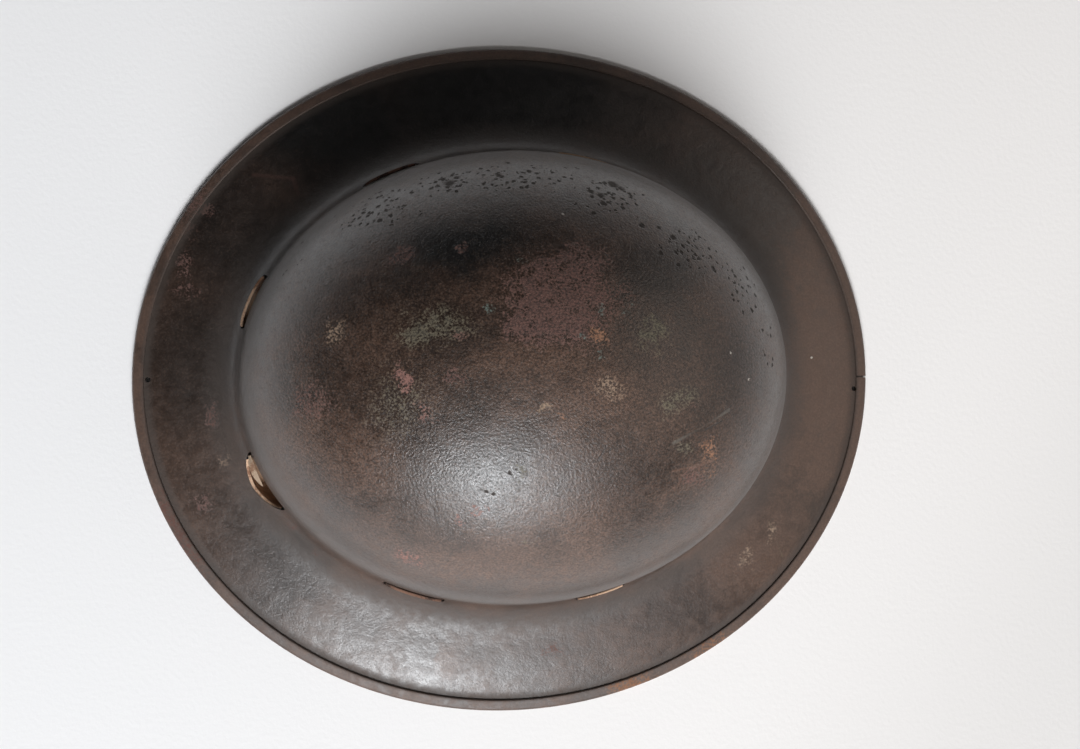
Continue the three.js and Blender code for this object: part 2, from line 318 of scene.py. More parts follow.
class Bench:
    """The modelling moves that the pieces share, made with Blender's own operators."""

    @staticmethod
    def put_down() -> None:
        """Leaves edit mode and deselects everything."""
        if bpy.context.mode != "OBJECT":
            bpy.ops.object.mode_set(mode="OBJECT")
        bpy.ops.object.select_all(action="DESELECT")

    @staticmethod
    def pick_up(piece: bpy.types.Object) -> None:
        """Makes a piece the only selected and active object."""
        Bench.put_down()
        piece.select_set(True)
        bpy.context.view_layer.objects.active = piece

    @staticmethod
    def select_points(piece: bpy.types.Object, wanted: Callable[[int, Vector], bool]) -> None:
        """Selects the vertices of a piece that answer a test, and goes on in edit mode.

        Args:
            piece: the piece.
            wanted: takes a vertex's number and place, and says whether it is selected.
        """
        bpy.ops.object.mode_set(mode="EDIT")
        bpy.ops.mesh.select_mode(type="VERT")
        bpy.ops.mesh.select_all(action="DESELECT")
        bpy.ops.object.mode_set(mode="OBJECT")
        for vertex in piece.data.vertices:
            vertex.select = wanted(vertex.index, vertex.co)
        bpy.ops.object.mode_set(mode="EDIT")

    @staticmethod
    def draw_ring(from_oval: Oval, to_oval: Oval) -> None:
        """Sizes and lifts the selected ring from one oval to another."""
        bpy.ops.transform.resize(
            value=(
                to_oval.half_length / from_oval.half_length,
                to_oval.half_width / from_oval.half_width,
                1.0,
            ),
            center_override=(0.0, 0.0, from_oval.height),
        )
        bpy.ops.transform.translate(value=(0.0, 0.0, to_oval.height - from_oval.height))

    @staticmethod
    def raise_skin(
        name: str, ovals: Sequence[Oval], steps: int, turn: Turn | None = None, closed: bool = False
    ) -> bpy.types.Object:
        """Raises a skin ring by ring through level ovals, as clay is raised on a wheel.

        Args:
            name: the piece's name.
            ovals: the rings in order. Unless the section is closed, the first and last are drawn
                together to a point.
            steps: vertices all the way round.
            turn: the part of the way round that is kept, or all of it.
            closed: whether the last ring joins the first one.

        Returns:
            The piece, with its faces outwards.
        """
        Bench.put_down()
        bpy.ops.mesh.primitive_circle_add(vertices=steps, radius=1.0)
        piece = bpy.context.object
        piece.name = name
        piece.data.name = name
        if turn is not None:
            Bench.select_points(
                piece, lambda _, place: not turn.holds(math.degrees(math.atan2(place.y, place.x)))
            )
            bpy.ops.mesh.delete(type="VERT")
            bpy.ops.object.mode_set(mode="OBJECT")
        ring_size = len(piece.data.vertices)
        bpy.ops.object.mode_set(mode="EDIT")
        bpy.ops.mesh.select_all(action="SELECT")
        Bench.draw_ring(Oval(1.0, 1.0, 0.0), ovals[0])
        for here, there in zip(ovals, ovals[1:]):
            bpy.ops.mesh.extrude_region_move()
            Bench.draw_ring(here, there)
        if closed:
            bpy.ops.mesh.extrude_region_move()
            Bench.draw_ring(ovals[-1], ovals[0])
            bpy.ops.mesh.select_all(action="SELECT")
            bpy.ops.mesh.remove_doubles(threshold=WELD_DISTANCE)
            if turn is not None:
                bpy.ops.mesh.select_all(action="DESELECT")
                bpy.ops.mesh.select_non_manifold()
                bpy.ops.mesh.edge_face_add()
        else:
            bpy.ops.mesh.merge(type="CENTER")
            Bench.select_points(piece, lambda number, _: number < ring_size)
            bpy.ops.mesh.merge(type="CENTER")
        bpy.ops.mesh.select_all(action="SELECT")
        bpy.ops.mesh.normals_make_consistent(inside=False)
        bpy.ops.object.mode_set(mode="OBJECT")
        return piece

    @staticmethod
    def drill(name: str, place: Vector, diameter: float, depth: float) -> bpy.types.Object:
        """An upright round cutter.

        Args:
            name: the cutter's name.
            place: its middle.
            diameter: its diameter.
            depth: its height.

        Returns:
            The cutter.
        """
        Bench.put_down()
        bpy.ops.mesh.primitive_cylinder_add(
            vertices=40, radius=diameter / 2, depth=depth, location=tuple(place)
        )
        cutter = bpy.context.object
        cutter.name = name
        bpy.ops.object.transform_apply(location=True, rotation=True, scale=True)
        return cutter

    @staticmethod
    def saw(name: str, place: Vector, size: Vector, heading: float) -> bpy.types.Object:
        """A thin upright cutter.

        Args:
            name: the cutter's name.
            place: its middle.
            size: its length, thickness and height.
            heading: how far it is turned about the upright, in radians.

        Returns:
            The cutter.
        """
        Bench.put_down()
        bpy.ops.mesh.primitive_cube_add(size=1.0)
        cutter = bpy.context.object
        cutter.name = name
        cutter.matrix_world = (
            Matrix.Translation(place) @ Matrix.Rotation(heading, 4, "Z") @ Matrix.Diagonal((*size, 1.0))
        )
        bpy.ops.object.transform_apply(location=True, rotation=True, scale=True)
        return cutter

    @staticmethod
    def cut(piece: bpy.types.Object, cutters: Iterable[bpy.types.Object]) -> None:
        """Takes cutters out of a piece and removes them from the scene."""
        for cutter in cutters:
            Bench.pick_up(piece)
            modifier = piece.modifiers.new("cut", "BOOLEAN")
            modifier.operation = "DIFFERENCE"
            modifier.solver = "EXACT"
            modifier.object = cutter
            bpy.ops.object.modifier_apply(modifier=modifier.name)
            bpy.data.objects.remove(cutter)

    @staticmethod
    def soften(piece: bpy.types.Object, width: float, over: float) -> None:
        """Rounds the edges of a piece that are sharper than an angle.

        Args:
            piece: the piece.
            width: the round's width.
            over: the angle in radians.
        """
        Bench.pick_up(piece)
        modifier = piece.modifiers.new("soften", "BEVEL")
        modifier.width = width
        modifier.segments = 2
        modifier.limit_method = "ANGLE"
        modifier.angle_limit = over
        modifier.use_clamp_overlap = True
        bpy.ops.object.modifier_apply(modifier=modifier.name)

    @staticmethod
    def smooth(piece: bpy.types.Object, below: float) -> None:
        """Shades a piece smooth where its faces meet below an angle in degrees."""
        Bench.pick_up(piece)
        bpy.ops.object.shade_smooth_by_angle(angle=math.radians(below))

    @staticmethod
    def hand_over(piece: bpy.types.Object, node: str, slot: str) -> None:
        """Lets a piece stand for a CAD node: hangs it under the root body and hides the node.

        Args:
            piece: the finished piece.
            node: the CAD node it replaces.
            slot: not used.
        """
        Bench.put_down()
        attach(piece, "root")
        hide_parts(node)
        piece.data.calc_loop_triangles()
        log.info("%s: %d triangles, stands for %s", piece.name, len(piece.data.loop_triangles), node)


class Nodes:
    """A node tree being built, with short ways to add what the finishes need."""

    def __init__(self, tree: bpy.types.NodeTree) -> None:
        """Takes the tree to build in."""
        self.tree = tree

    @staticmethod
    def start(name: str) -> tuple[bpy.types.Material, "Nodes"]:
        """Makes an empty material, and gives it with its nodes."""
        material = bpy.data.materials.new(name)
        material.use_nodes = True
        material.node_tree.nodes.clear()
        return material, Nodes(material.node_tree)

    def add(self, kind: str, settings: dict | None = None, **inputs: object) -> bpy.types.Node:
        """Adds a node.

        Args:
            kind: the node's type.
            settings: properties of the node.
            **inputs: what goes into its sockets, by name with underscores for spaces: another
                node's socket or a value.

        Returns:
            The node.
        """
        node = self.tree.nodes.new(kind)
        for key, value in (settings or {}).items():
            setattr(node, key, value)
        for key, value in inputs.items():
            self.feed(node.inputs[key.replace("_", " ")], value)
        return node

    def feed(self, socket: Socket, value: object) -> None:
        """Links a socket to another one, or sets its value."""
        if isinstance(value, bpy.types.NodeSocket):
            self.tree.links.new(value, socket)
        else:
            socket.default_value = value

    def maths(self, operation: str, *values: object, clamp: bool = False) -> Socket:
        """A Math node's result.

        Args:
            operation: the operation's name.
            *values: up to three sockets or numbers.
            clamp: whether the result is kept from 0 to 1.

        Returns:
            The result's socket.
        """
        node = self.add("ShaderNodeMath", {"operation": operation, "use_clamp": clamp})
        for socket, value in zip(node.inputs, values):
            self.feed(socket, value)
        return node.outputs[0]

    def vector(self, operation: str, *values: object) -> bpy.types.Node:
        """A Vector Math node, from sockets or vectors."""
        node = self.add("ShaderNodeVectorMath", {"operation": operation})
        for socket, value in zip(node.inputs, values):
            self.feed(socket, value)
        return node

    def remap(
        self, value: Socket, low: float, high: float, to_low: float = 0.0, to_high: float = 1.0
    ) -> Socket:
        """A value taken smoothly from one range to another."""
        node = self.add("ShaderNodeMapRange", {"interpolation_type": "SMOOTHSTEP"})
        for socket, given in zip(node.inputs, (value, low, high, to_low, to_high)):
            self.feed(socket, given)
        return node.outputs[0]

    def mix(self, share: object, below: object, above: object, blend: str = "MIX") -> Socket:
        """A colour mixed from two.

        Args:
            share: how much of the upper colour shows, a socket or a number.
            below: the lower colour.
            above: the upper colour.
            blend: how they are mixed.

        Returns:
            The mixed colour's socket.
        """
        node = self.add("ShaderNodeMix", {"data_type": "RGBA", "blend_type": blend})
        self.feed(node.inputs["Factor"], share)
        for socket, value in ((node.inputs[6], below), (node.inputs[7], above)):
            self.feed(socket, value if isinstance(value, bpy.types.NodeSocket) else (*value, 1.0))
        return node.outputs[2]

    def noise(self, place: Socket, size: float, detail: float = 2.0, rough: float = 0.5) -> bpy.types.Node:
        """Cloudy noise whose clumps are about the given size in metres."""
        return self.add("ShaderNodeTexNoise", Vector=place, Scale=1 / size, Detail=detail, Roughness=rough)

    def group(self, tree: bpy.types.NodeTree, **inputs: object) -> Socket:
        """Places a shared effect with its own values, and gives its first output."""
        return self.add("ShaderNodeGroup", {"node_tree": tree}, **inputs).outputs[0]


class Effects:
    """Shader groups that more than one finish uses, each built once."""

    def __init__(self) -> None:
        """Builds the groups."""
        self.stain = self._stain()
        self.stroke = self._stroke()
        self.worn_grains = self._worn_grains()
        self.even = self._even()
        self.pit_field = self._pit_field()

    @staticmethod
    def _start(name: str, sockets: dict[str, str]) -> tuple[Nodes, dict[str, Socket]]:
        """Starts a group.

        Args:
            name: the group's name.
            sockets: its inputs, each with its socket type.

        Returns:
            The group's nodes and its input sockets by name.
        """
        tree = bpy.data.node_groups.new(name, "ShaderNodeTree")
        for title, kind in sockets.items():
            tree.interface.new_socket(name=title, in_out="INPUT", socket_type=kind)
        nodes = Nodes(tree)
        entry = nodes.add("NodeGroupInput")
        return nodes, {title: entry.outputs[title] for title in sockets}

    @staticmethod
    def _end(nodes: Nodes, title: str, value: Socket) -> bpy.types.NodeTree:
        """Gives a group its one output and returns its tree."""
        nodes.tree.interface.new_socket(name=title, in_out="OUTPUT", socket_type="NodeSocketFloat")
        leave = nodes.add("NodeGroupOutput")
        nodes.feed(leave.inputs[title], value)
        return nodes.tree

    def _stain(self) -> bpy.types.NodeTree:
        """A soft rounded stain: 1 at its centre and 0 outside its radii."""
        vector, number = "NodeSocketVector", "NodeSocketFloat"
        nodes, given = self._start(
            "soft_stain", {"Position": vector, "Scale": vector, "Shift": vector, "Core": number}
        )
        share = nodes.vector("MULTIPLY_ADD", given["Position"], given["Scale"], given["Shift"])
        reach = nodes.vector("LENGTH", share.outputs[0]).outputs["Value"]
        return self._end(nodes, "Mask", nodes.remap(reach, 1.15, given["Core"]))

    def spot(self, nodes: Nodes, place: Socket, centre: Vector, radii: Vector, core: float) -> Socket:
        """Places one soft stain.

        Args:
            nodes: the nodes to add it to.
            place: the places at which it is read.
            centre: its centre in metres.
            radii: its radii in metres.
            core: the share of its radii inside which it is full.

        Returns:
            Its mask.
        """
        scale = Vector(1 / radius for radius in radii)
        shift = Vector(-along * share for along, share in zip(centre, scale))
        return nodes.group(self.stain, Position=place, Scale=scale, Shift=shift, Core=core)

    def _stroke(self) -> bpy.types.NodeTree:
        """A scratch or streak between two points, soft at its sides."""
        vector, number = "NodeSocketVector", "NodeSocketFloat"
        nodes, given = self._start(
            "straight_stroke", {"Position": vector, "Start": vector, "End": vector, "Width": number}
        )
        along = nodes.vector("SUBTRACT", given["End"], given["Start"]).outputs[0]
        away = nodes.vector("SUBTRACT", given["Position"], given["Start"]).outputs[0]
        over = nodes.vector("DOT_PRODUCT", away, along).outputs["Value"]
        whole = nodes.vector("DOT_PRODUCT", along, along).outputs["Value"]
        share = nodes.maths("DIVIDE", over, whole, clamp=True)
        scale = nodes.vector("SCALE", along)
        nodes.feed(scale.inputs["Scale"], share)
        beside = nodes.vector("DISTANCE", away, scale.outputs[0]).outputs["Value"]
        return self._end(nodes, "Mask", nodes.remap(nodes.maths("DIVIDE", beside, given["Width"]), 1.0, 0.2))

    def _worn_grains(self) -> bpy.types.NodeTree:
        """Which grains of a rough coating a stain takes: more of them where its cover is fuller."""
        number = "NodeSocketFloat"
        nodes, given = self._start("worn_grains", {"Cover": number, "Clump": number, "Grain": number})
        share = nodes.maths("MULTIPLY_ADD", given["Clump"], 0.8, 0.55)
        cover = nodes.maths("MULTIPLY", given["Cover"], share)
        calm = nodes.maths("MULTIPLY_ADD", given["Grain"], 0.88, 0.06)
        raised = nodes.maths("MULTIPLY_ADD", cover, 1.8, calm)
        return self._end(nodes, "Mask", nodes.remap(raised, 0.85, 1.85))

    def _pit_field(self) -> bpy.types.NodeTree:
        """Scattered rust pits of uneven size, more of them where the zone is fuller."""
        vector, number = "NodeSocketVector", "NodeSocketFloat"
        nodes, given = self._start("pit_field", {"Position": vector, "Zone": number, "Spacing": number})
        cells = nodes.add(
            "ShaderNodeTexVoronoi",
            {"feature": "F1"},
            Vector=given["Position"],
            Scale=nodes.maths("DIVIDE", 1.0, given["Spacing"]),
        )
        chance = nodes.add("ShaderNodeSeparateColor", Color=cells.outputs["Color"])
        chosen = nodes.maths("LESS_THAN", chance.outputs["Red"], given["Zone"])
        size = nodes.maths("MULTIPLY_ADD", chance.outputs["Green"], 0.32, 0.25)
        inside = nodes.remap(nodes.maths("DIVIDE", cells.outputs["Distance"], size), 1.1, 0.6)
        return self._end(nodes, "Mask", nodes.maths("MULTIPLY", inside, chosen))

    def _even(self) -> bpy.types.NodeTree:
        """Noise spread evenly from 0 to 1."""
        nodes, given = self._start("even_spread", {"Noise": "NodeSocketFloat"})
        return self._end(nodes, "Value", nodes.remap(given["Noise"], 0.3, 0.7))


@dataclass(frozen=True)
class Pigment:
    """What a stain is made of."""

    colour: Colour
    roughness: float
    matt: float


class Tone(Enum):
    """The stains and deposits on the steel."""

    BROWN = Pigment((0.085, 0.056, 0.042), 0.72, 0.85)
    OLIVE = Pigment((0.095, 0.082, 0.052), 0.75, 0.80)
    TAN = Pigment((0.22, 0.15, 0.10), 0.80, 0.90)
    RED = Pigment((0.100, 0.046, 0.035), 0.78, 0.92)
    PINK = Pigment((0.19, 0.088, 0.070), 0.78, 0.92)
    ORANGE = Pigment((0.20, 0.095, 0.050), 0.78, 0.92)
    TEAL = Pigment((0.085, 0.115, 0.100), 0.70, 0.85)


@dataclass(frozen=True)
class Stain:
    """A stain on the steel. Its place and radii are in millimetres in plan."""

    tone: Tone
    x: float
    y: float
    radius_x: float
    radius_y: float
    cover: float
    core: float = 0.2


@dataclass(frozen=True)
class Bare:
    """A place in plan, in millimetres, where the brown film is cleared off the gloss coat; on the brim's top,
    in the crown's shadow, this is painted shade.
    """

    x: float
    y: float
    radius_x: float
    radius_y: float
    strength: float


@dataclass(frozen=True)
class Pit:
    """A rust pit or a pale speck, in millimetres in plan."""

    x: float
    y: float
    radius: float


@dataclass(frozen=True)
class Stroke:
    """A scratch or streak, in millimetres in plan. A negative lift is a groove."""

    start: tuple[float, float]
    end: tuple[float, float]
    width: float
    colour: Colour
    strength: float
    lift: float


@dataclass(frozen=True)
class DirtAndPaintedLightRing:
    """A ring that follows an oval: soiling along the band's inner edge, painted shade over the fillet, a
    painted reflection just inside the crown's foot. The oval is in metres and the widths in millimetres.
    """

    half_length: float
    half_width: float
    inwards: float
    outwards: float
    cover: float
    colour: Colour = (0.040, 0.027, 0.020)


@dataclass(frozen=True)
class AgedSteel:
    """Dark patinated steel: a glossy coat with fine grains, under matt rust and a brown film of soil; some
    rings and cleared places on it are painted shade and painted reflection.

    Pebbles are fully raised above pebbles_to on the crown, and flattened to least_pebbles below
    pebbles_from. Of the pits, those of at least deep_from millimetres are pressed in as well as dark.
    """

    name: str
    coat: Colour = (0.006, 0.0055, 0.005)
    film: Colour = (0.084, 0.046, 0.030)
    film_cover: float = 0.58
    fleck: Colour = (0.17, 0.125, 0.092)
    coat_roughness: float = 0.28
    refraction: float = 2.1
    grain_size: float = 0.85 * MM
    pebble_size: float = 1.0 * MM
    clump_size: float = 3.6 * MM
    cloud_size: float = 22 * MM
    pebble_height: float = 0.21 * MM
    clump_height: float = 0.032 * MM
    cloud_height: float = 0.12 * MM
    pit_depth: float = 0.12 * MM
    pit_metal: float = 0.62
    pit_spacing: float = 2.3 * MM
    push_size: float = 1.3 * MM
    push: float = 1.7 * MM
    pit_colour: Colour = (0.030, 0.020, 0.015)
    speck_colour: Colour = (0.50, 0.46, 0.40)
    pebbles_from: float = 0.03
    pebbles_to: float = 0.085
    least_pebbles: float = 0.35
    stains: tuple[Stain, ...] = ()
    bare_and_shaded: tuple[Bare, ...] = ()
    pits: tuple[Pit, ...] = ()
    deep_from: float = 1.6
    pit_zones: tuple[Bare, ...] = ()
    specks: tuple[Pit, ...] = ()
    strokes: tuple[Stroke, ...] = ()
    dirt_and_painted_light_rings: tuple[DirtAndPaintedLightRing, ...] = ()

    def material(self, form: HelmetForm, effects: Effects) -> bpy.types.Material:
        """Builds the material.

        Args:
            form: the helmet's form, for the height of each stain.
            effects: the shared shader groups.

        Returns:
            The material.
        """
        material, nodes = Nodes.start(self.name)
        place = nodes.add("ShaderNodeTexCoord").outputs["Object"]
        grain = nodes.group(effects.even, Noise=nodes.noise(place, self.grain_size, 1.5).outputs[0])
        pebble = nodes.noise(place, self.pebble_size, 3.0, 0.62).outputs[0]
        clump_noise = nodes.noise(place, self.clump_size, 3.0, 0.6)
        clump = nodes.group(effects.even, Noise=clump_noise.outputs[0])
        cloud_noise = nodes.noise(place, self.cloud_size, 3.0, 0.55)
        cloud = nodes.group(effects.even, Noise=cloud_noise.outputs[0])
        ragged = self._ragged(nodes, place, clump_noise, cloud_noise)

        up = nodes.add("ShaderNodeSeparateXYZ", Vector=place).outputs["Z"]
        pebbled = nodes.remap(up, self.pebbles_from, self.pebbles_to, self.least_pebbles, 1.0)

        colour, rough = self._patina(nodes, effects, form, ragged, grain, clump, cloud)
        contrast = nodes.remap(pebbled, self.least_pebbles, 1.0, 0.4, 1.0)
        shade = nodes.maths("MULTIPLY_ADD", nodes.maths("SUBTRACT", grain, 0.5), contrast, 1.0)
        colour = nodes.mix(1.0, colour, self._grey(nodes, shade), "MULTIPLY")
        fleck = nodes.maths("MULTIPLY", nodes.remap(pebble, 0.57, 0.72, 0.0, 0.30), pebbled)
        colour = nodes.mix(fleck, colour, self.fleck)
        pore = nodes.maths("MULTIPLY", nodes.remap(pebble, 0.46, 0.36), pebbled)
        rough = nodes.maths("MULTIPLY_ADD", pore, 0.18, rough)
        flat = nodes.remap(pebbled, self.least_pebbles, 1.0, 0.03, 0.0)
        rough = nodes.maths("ADD", rough, flat)
        rough = nodes.maths("ADD", rough, nodes.remap(pebble, 0.55, 0.75, 0.0, 0.09))
        large = [pit for pit in self.pits if pit.radius >= self.deep_from]
        small = [pit for pit in self.pits if pit.radius < self.deep_from]
        near = self._pushed(nodes, place, self.push_size, self.push)
        deep = self._spots(nodes, effects, form, near, large, 0.45)
        deep = nodes.maths("MAXIMUM", deep, self._scattered_pits(nodes, effects, form, near))
        pit = nodes.maths("MAXIMUM", deep, self._spots(nodes, effects, form, near, small, 0.45))
        speck = self._spots(nodes, effects, form, near, self.specks, 0.5)
        colour = nodes.mix(pit, colour, self.pit_colour)
        colour = nodes.mix(speck, colour, self.speck_colour)
        colour, groove = self._scored(nodes, effects, form, place, colour)
        # Rings of soiling, painted shade and painted reflection; each is rougher as well.
        dirt_and_painted_light_mask: object = 0.0
        for ring in self.dirt_and_painted_light_rings:
            mask = self._ring(nodes, place, ring)
            colour = nodes.mix(mask, colour, ring.colour)
            dirt_and_painted_light_mask = nodes.maths("MAXIMUM", mask, dirt_and_painted_light_mask)
        rough = nodes.maths("MULTIPLY_ADD", dirt_and_painted_light_mask, 0.4, rough, clamp=True)

        height = self._height(nodes, pebbled, pebble, clump, cloud, deep, groove)
        metal = nodes.maths("MULTIPLY", pit, self.pit_metal)
        bump = nodes.add("ShaderNodeBump", Strength=1.0, Distance=1.0, Height=height)
        shader = nodes.add(
            "ShaderNodeBsdfPrincipled",
            Base_Color=colour,
            Roughness=nodes.maths("MAXIMUM", rough, metal),
            Metallic=metal,
            IOR=self.refraction,
            Normal=bump.outputs[0],
        )
        nodes.add("ShaderNodeOutputMaterial", Surface=shader.outputs[0])
        return material

    def _ragged(self, nodes: Nodes, place: Socket, clump: bpy.types.Node, cloud: bpy.types.Node) -> Socket:
        """Places pushed about by noise, so that stains read at them have ragged edges."""
        wide = nodes.vector("MULTIPLY_ADD", cloud.outputs["Color"], (0.020,) * 3, (-0.010,) * 3)
        fine = nodes.vector("MULTIPLY_ADD", clump.outputs["Color"], (0.009,) * 3, (-0.0045,) * 3)
        pushed = nodes.vector("ADD", wide.outputs[0], fine.outputs[0])
        return nodes.vector("ADD", place, pushed.outputs[0]).outputs[0]

    def _patina(
        self,
        nodes: Nodes,
        effects: Effects,
        form: HelmetForm,
        ragged: Socket,
        grain: Socket,
        clump: Socket,
        cloud: Socket,
    ) -> tuple[Socket, Socket]:
        """Lays the brown film of soil and the stains over the gloss coat, and clears the film at given
        places, some of them as painted shade.

        Args:
            nodes: the material's nodes.
            effects: the shared shader groups.
            form: the helmet's form.
            ragged: the places at which stains are read.
            grain: the coating's fine grains, 0 to 1.
            clump: clumps of a few millimetres, 0 to 1.
            cloud: clouds of a few centimetres, 0 to 1.

        Returns:
            The colour and the roughness.
        """
        # Cleared places; those on the brim's top are painted shade.
        clean_and_shaded: object = 0.0
        for spot in self.bare_and_shaded:
            mask = self._mask(nodes, effects, form, ragged, spot, 0.25)
            clean_and_shaded = nodes.maths("MAXIMUM", clean_and_shaded, nodes.maths("MULTIPLY", mask, spot.strength))
        film = nodes.maths("MULTIPLY", nodes.remap(cloud, 0.0, 1.0, 0.7, 1.3), self.film_cover)
        for spot in (spot for spot in self.stains if spot.tone is Tone.BROWN):
            mask = self._mask(nodes, effects, form, ragged, spot, 0.0)
            film = nodes.maths("MULTIPLY_ADD", mask, spot.cover, film)
        film = nodes.maths("MULTIPLY", film, nodes.maths("SUBTRACT", 1.0, clean_and_shaded))
        film = nodes.maths("MULTIPLY", film, nodes.maths("MULTIPLY_ADD", clump, 0.36, 0.82), clamp=True)
        colour = nodes.mix(film, self.coat, self.film)
        matt: object = nodes.maths("MULTIPLY", film, 0.12)
        for tone in (tone for tone in Tone if tone is not Tone.BROWN):
            spots = [spot for spot in self.stains if spot.tone is tone]
            if not spots:
                continue
            cover: object = 0.0
            for spot in spots:
                mask = self._mask(nodes, effects, form, ragged, spot, spot.core)
                cover = nodes.maths("MAXIMUM", cover, nodes.maths("MULTIPLY", mask, spot.cover))
            share = nodes.group(effects.worn_grains, Cover=cover, Clump=clump, Grain=grain)
            share = nodes.maths("MULTIPLY", share, tone.value.matt)
            colour = nodes.mix(share, colour, tone.value.colour)
            matt = nodes.maths("MAXIMUM", matt, share)
        smooth = nodes.remap(cloud, 0.0, 1.0, self.coat_roughness, self.coat_roughness + 0.04)
        smooth = nodes.maths("MULTIPLY_ADD", clump, 0.09, smooth)
        rough = nodes.maths("MULTIPLY_ADD", matt, 0.40, smooth)
        return colour, rough

    @staticmethod
    def _ring(nodes: Nodes, place: Socket, ring: DirtAndPaintedLightRing) -> Socket:
        """The mask of one ring of soiling, painted shade or painted reflection: full on its oval and gone at
        its widths.
        """
        share = nodes.vector("DIVIDE", place, (ring.half_length, ring.half_width, 1.0)).outputs[0]
        level = nodes.vector("MULTIPLY", share, (1.0, 1.0, 0.0)).outputs[0]
        reach = nodes.vector("LENGTH", level).outputs["Value"]
        mean_half = (ring.half_length + ring.half_width) / 2
        outside = nodes.maths("MULTIPLY_ADD", reach, mean_half / MM, -mean_half / MM)
        inner = nodes.remap(outside, -ring.inwards, 0.0)
        outer = nodes.remap(outside, ring.outwards, 0.0)
        return nodes.maths("MULTIPLY", nodes.maths("MULTIPLY", inner, outer), ring.cover)

    @staticmethod
    def _grey(nodes: Nodes, value: Socket) -> Socket:
        """A value as a grey colour."""
        return nodes.add("ShaderNodeCombineColor", Red=value, Green=value, Blue=value).outputs[0]

    @staticmethod
    def _mask(
        nodes: Nodes, effects: Effects, form: HelmetForm, place: Socket, spot: Stain | Bare, core: float
    ) -> Socket:
        """The mask of one stain or cleared place."""
        centre = form.on_surface(spot.x * MM, spot.y * MM)
        deep = (spot.radius_x + spot.radius_y) / 2
        radii = Vector((spot.radius_x, spot.radius_y, deep)) * MM
        return effects.spot(nodes, place, centre, radii, core)

    @staticmethod
    def _pushed(nodes: Nodes, place: Socket, size: float, push: float) -> Socket:
        """Places pushed about by noise of a size in metres, by up to half the push each way."""
        noise = nodes.noise(place, size, 1.0).outputs["Color"]
        shift = nodes.vector("MULTIPLY_ADD", noise, (push,) * 3, (-push / 2,) * 3)
        return nodes.vector("ADD", place, shift.outputs[0]).outputs[0]

    @staticmethod
    def _spots(
        nodes: Nodes, effects: Effects, form: HelmetForm, place: Socket, spots: Sequence[Pit], core: float
    ) -> Socket:
        """The mask of many small round spots together."""
        mask: object = 0.0
        for spot in spots:
            centre = form.on_surface(spot.x * MM, spot.y * MM)
            radii = Vector((spot.radius * MM,) * 3)
            mask = nodes.maths("MAXIMUM", mask, effects.spot(nodes, place, centre, radii, core))
        return mask if isinstance(mask, bpy.types.NodeSocket) else nodes.maths("MULTIPLY", 0.0, 0.0)

    def _scattered_pits(self, nodes: Nodes, effects: Effects, form: HelmetForm, place: Socket) -> Socket:
        """The mask of the small pits that are scattered over whole zones."""
        zone: object = 0.0
        for spot in self.pit_zones:
            mask = self._mask(nodes, effects, form, place, spot, 0.2)
            zone = nodes.maths("MAXIMUM", zone, nodes.maths("MULTIPLY", mask, spot.strength))
        return nodes.group(effects.pit_field, Position=place, Zone=zone, Spacing=self.pit_spacing)

    def _scored(
        self, nodes: Nodes, effects: Effects, form: HelmetForm, place: Socket, colour: Socket
    ) -> tuple[Socket, Socket]:
        """Draws the scratches and streaks.

        Args:
            nodes: the material's nodes.
            effects: the shared shader groups.
            form: the helmet's form.
            place: places on the steel.
            colour: the colour under them.

        Returns:
            The colour, and the relief of the strokes in metres.
        """
        groove: object = 0.0
        for stroke in self.strokes:
            start = form.on_surface(stroke.start[0] * MM, stroke.start[1] * MM)
            end = form.on_surface(stroke.end[0] * MM, stroke.end[1] * MM)
            mask = nodes.group(
                effects.stroke, Position=place, Start=start, End=end, Width=stroke.width * MM
            )
            share = nodes.maths("MULTIPLY", mask, stroke.strength)
            colour = nodes.mix(share, colour, stroke.colour)
            if stroke.lift:
                groove = nodes.maths("MULTIPLY_ADD", mask, stroke.lift * MM, groove)
        return colour, groove

    def _height(
        self,
        nodes: Nodes,
        pebbled: Socket,
        pebble: Socket,
        clump: Socket,
        cloud: Socket,
        pit: Socket,
        groove: object,
    ) -> Socket:
        """The relief of the coating in metres."""
        fine = nodes.maths("MULTIPLY", nodes.maths("MULTIPLY", pebble, self.pebble_height), pebbled)
        height = nodes.maths("MULTIPLY_ADD", clump, self.clump_height, fine)
        height = nodes.maths("MULTIPLY_ADD", cloud, self.cloud_height, height)
        height = nodes.maths("MULTIPLY_ADD", pit, -self.pit_depth, height)
        return nodes.maths("ADD", height, groove)


class Leather(Enum):
    """How the leather in a slot looks: its pale and its dark colour."""

    PALE = ((0.55, 0.37, 0.25), (0.24, 0.12, 0.07))
    CREAM = ((0.34, 0.25, 0.175), (0.20, 0.11, 0.065))
    # Near-black brown on the sweatband and on the sunk tongues, so that their slots read as dark gaps: partly
    # leather colour, partly painted shade.
    BROWN = ((0.20, 0.11, 0.075), (0.045, 0.027, 0.02))


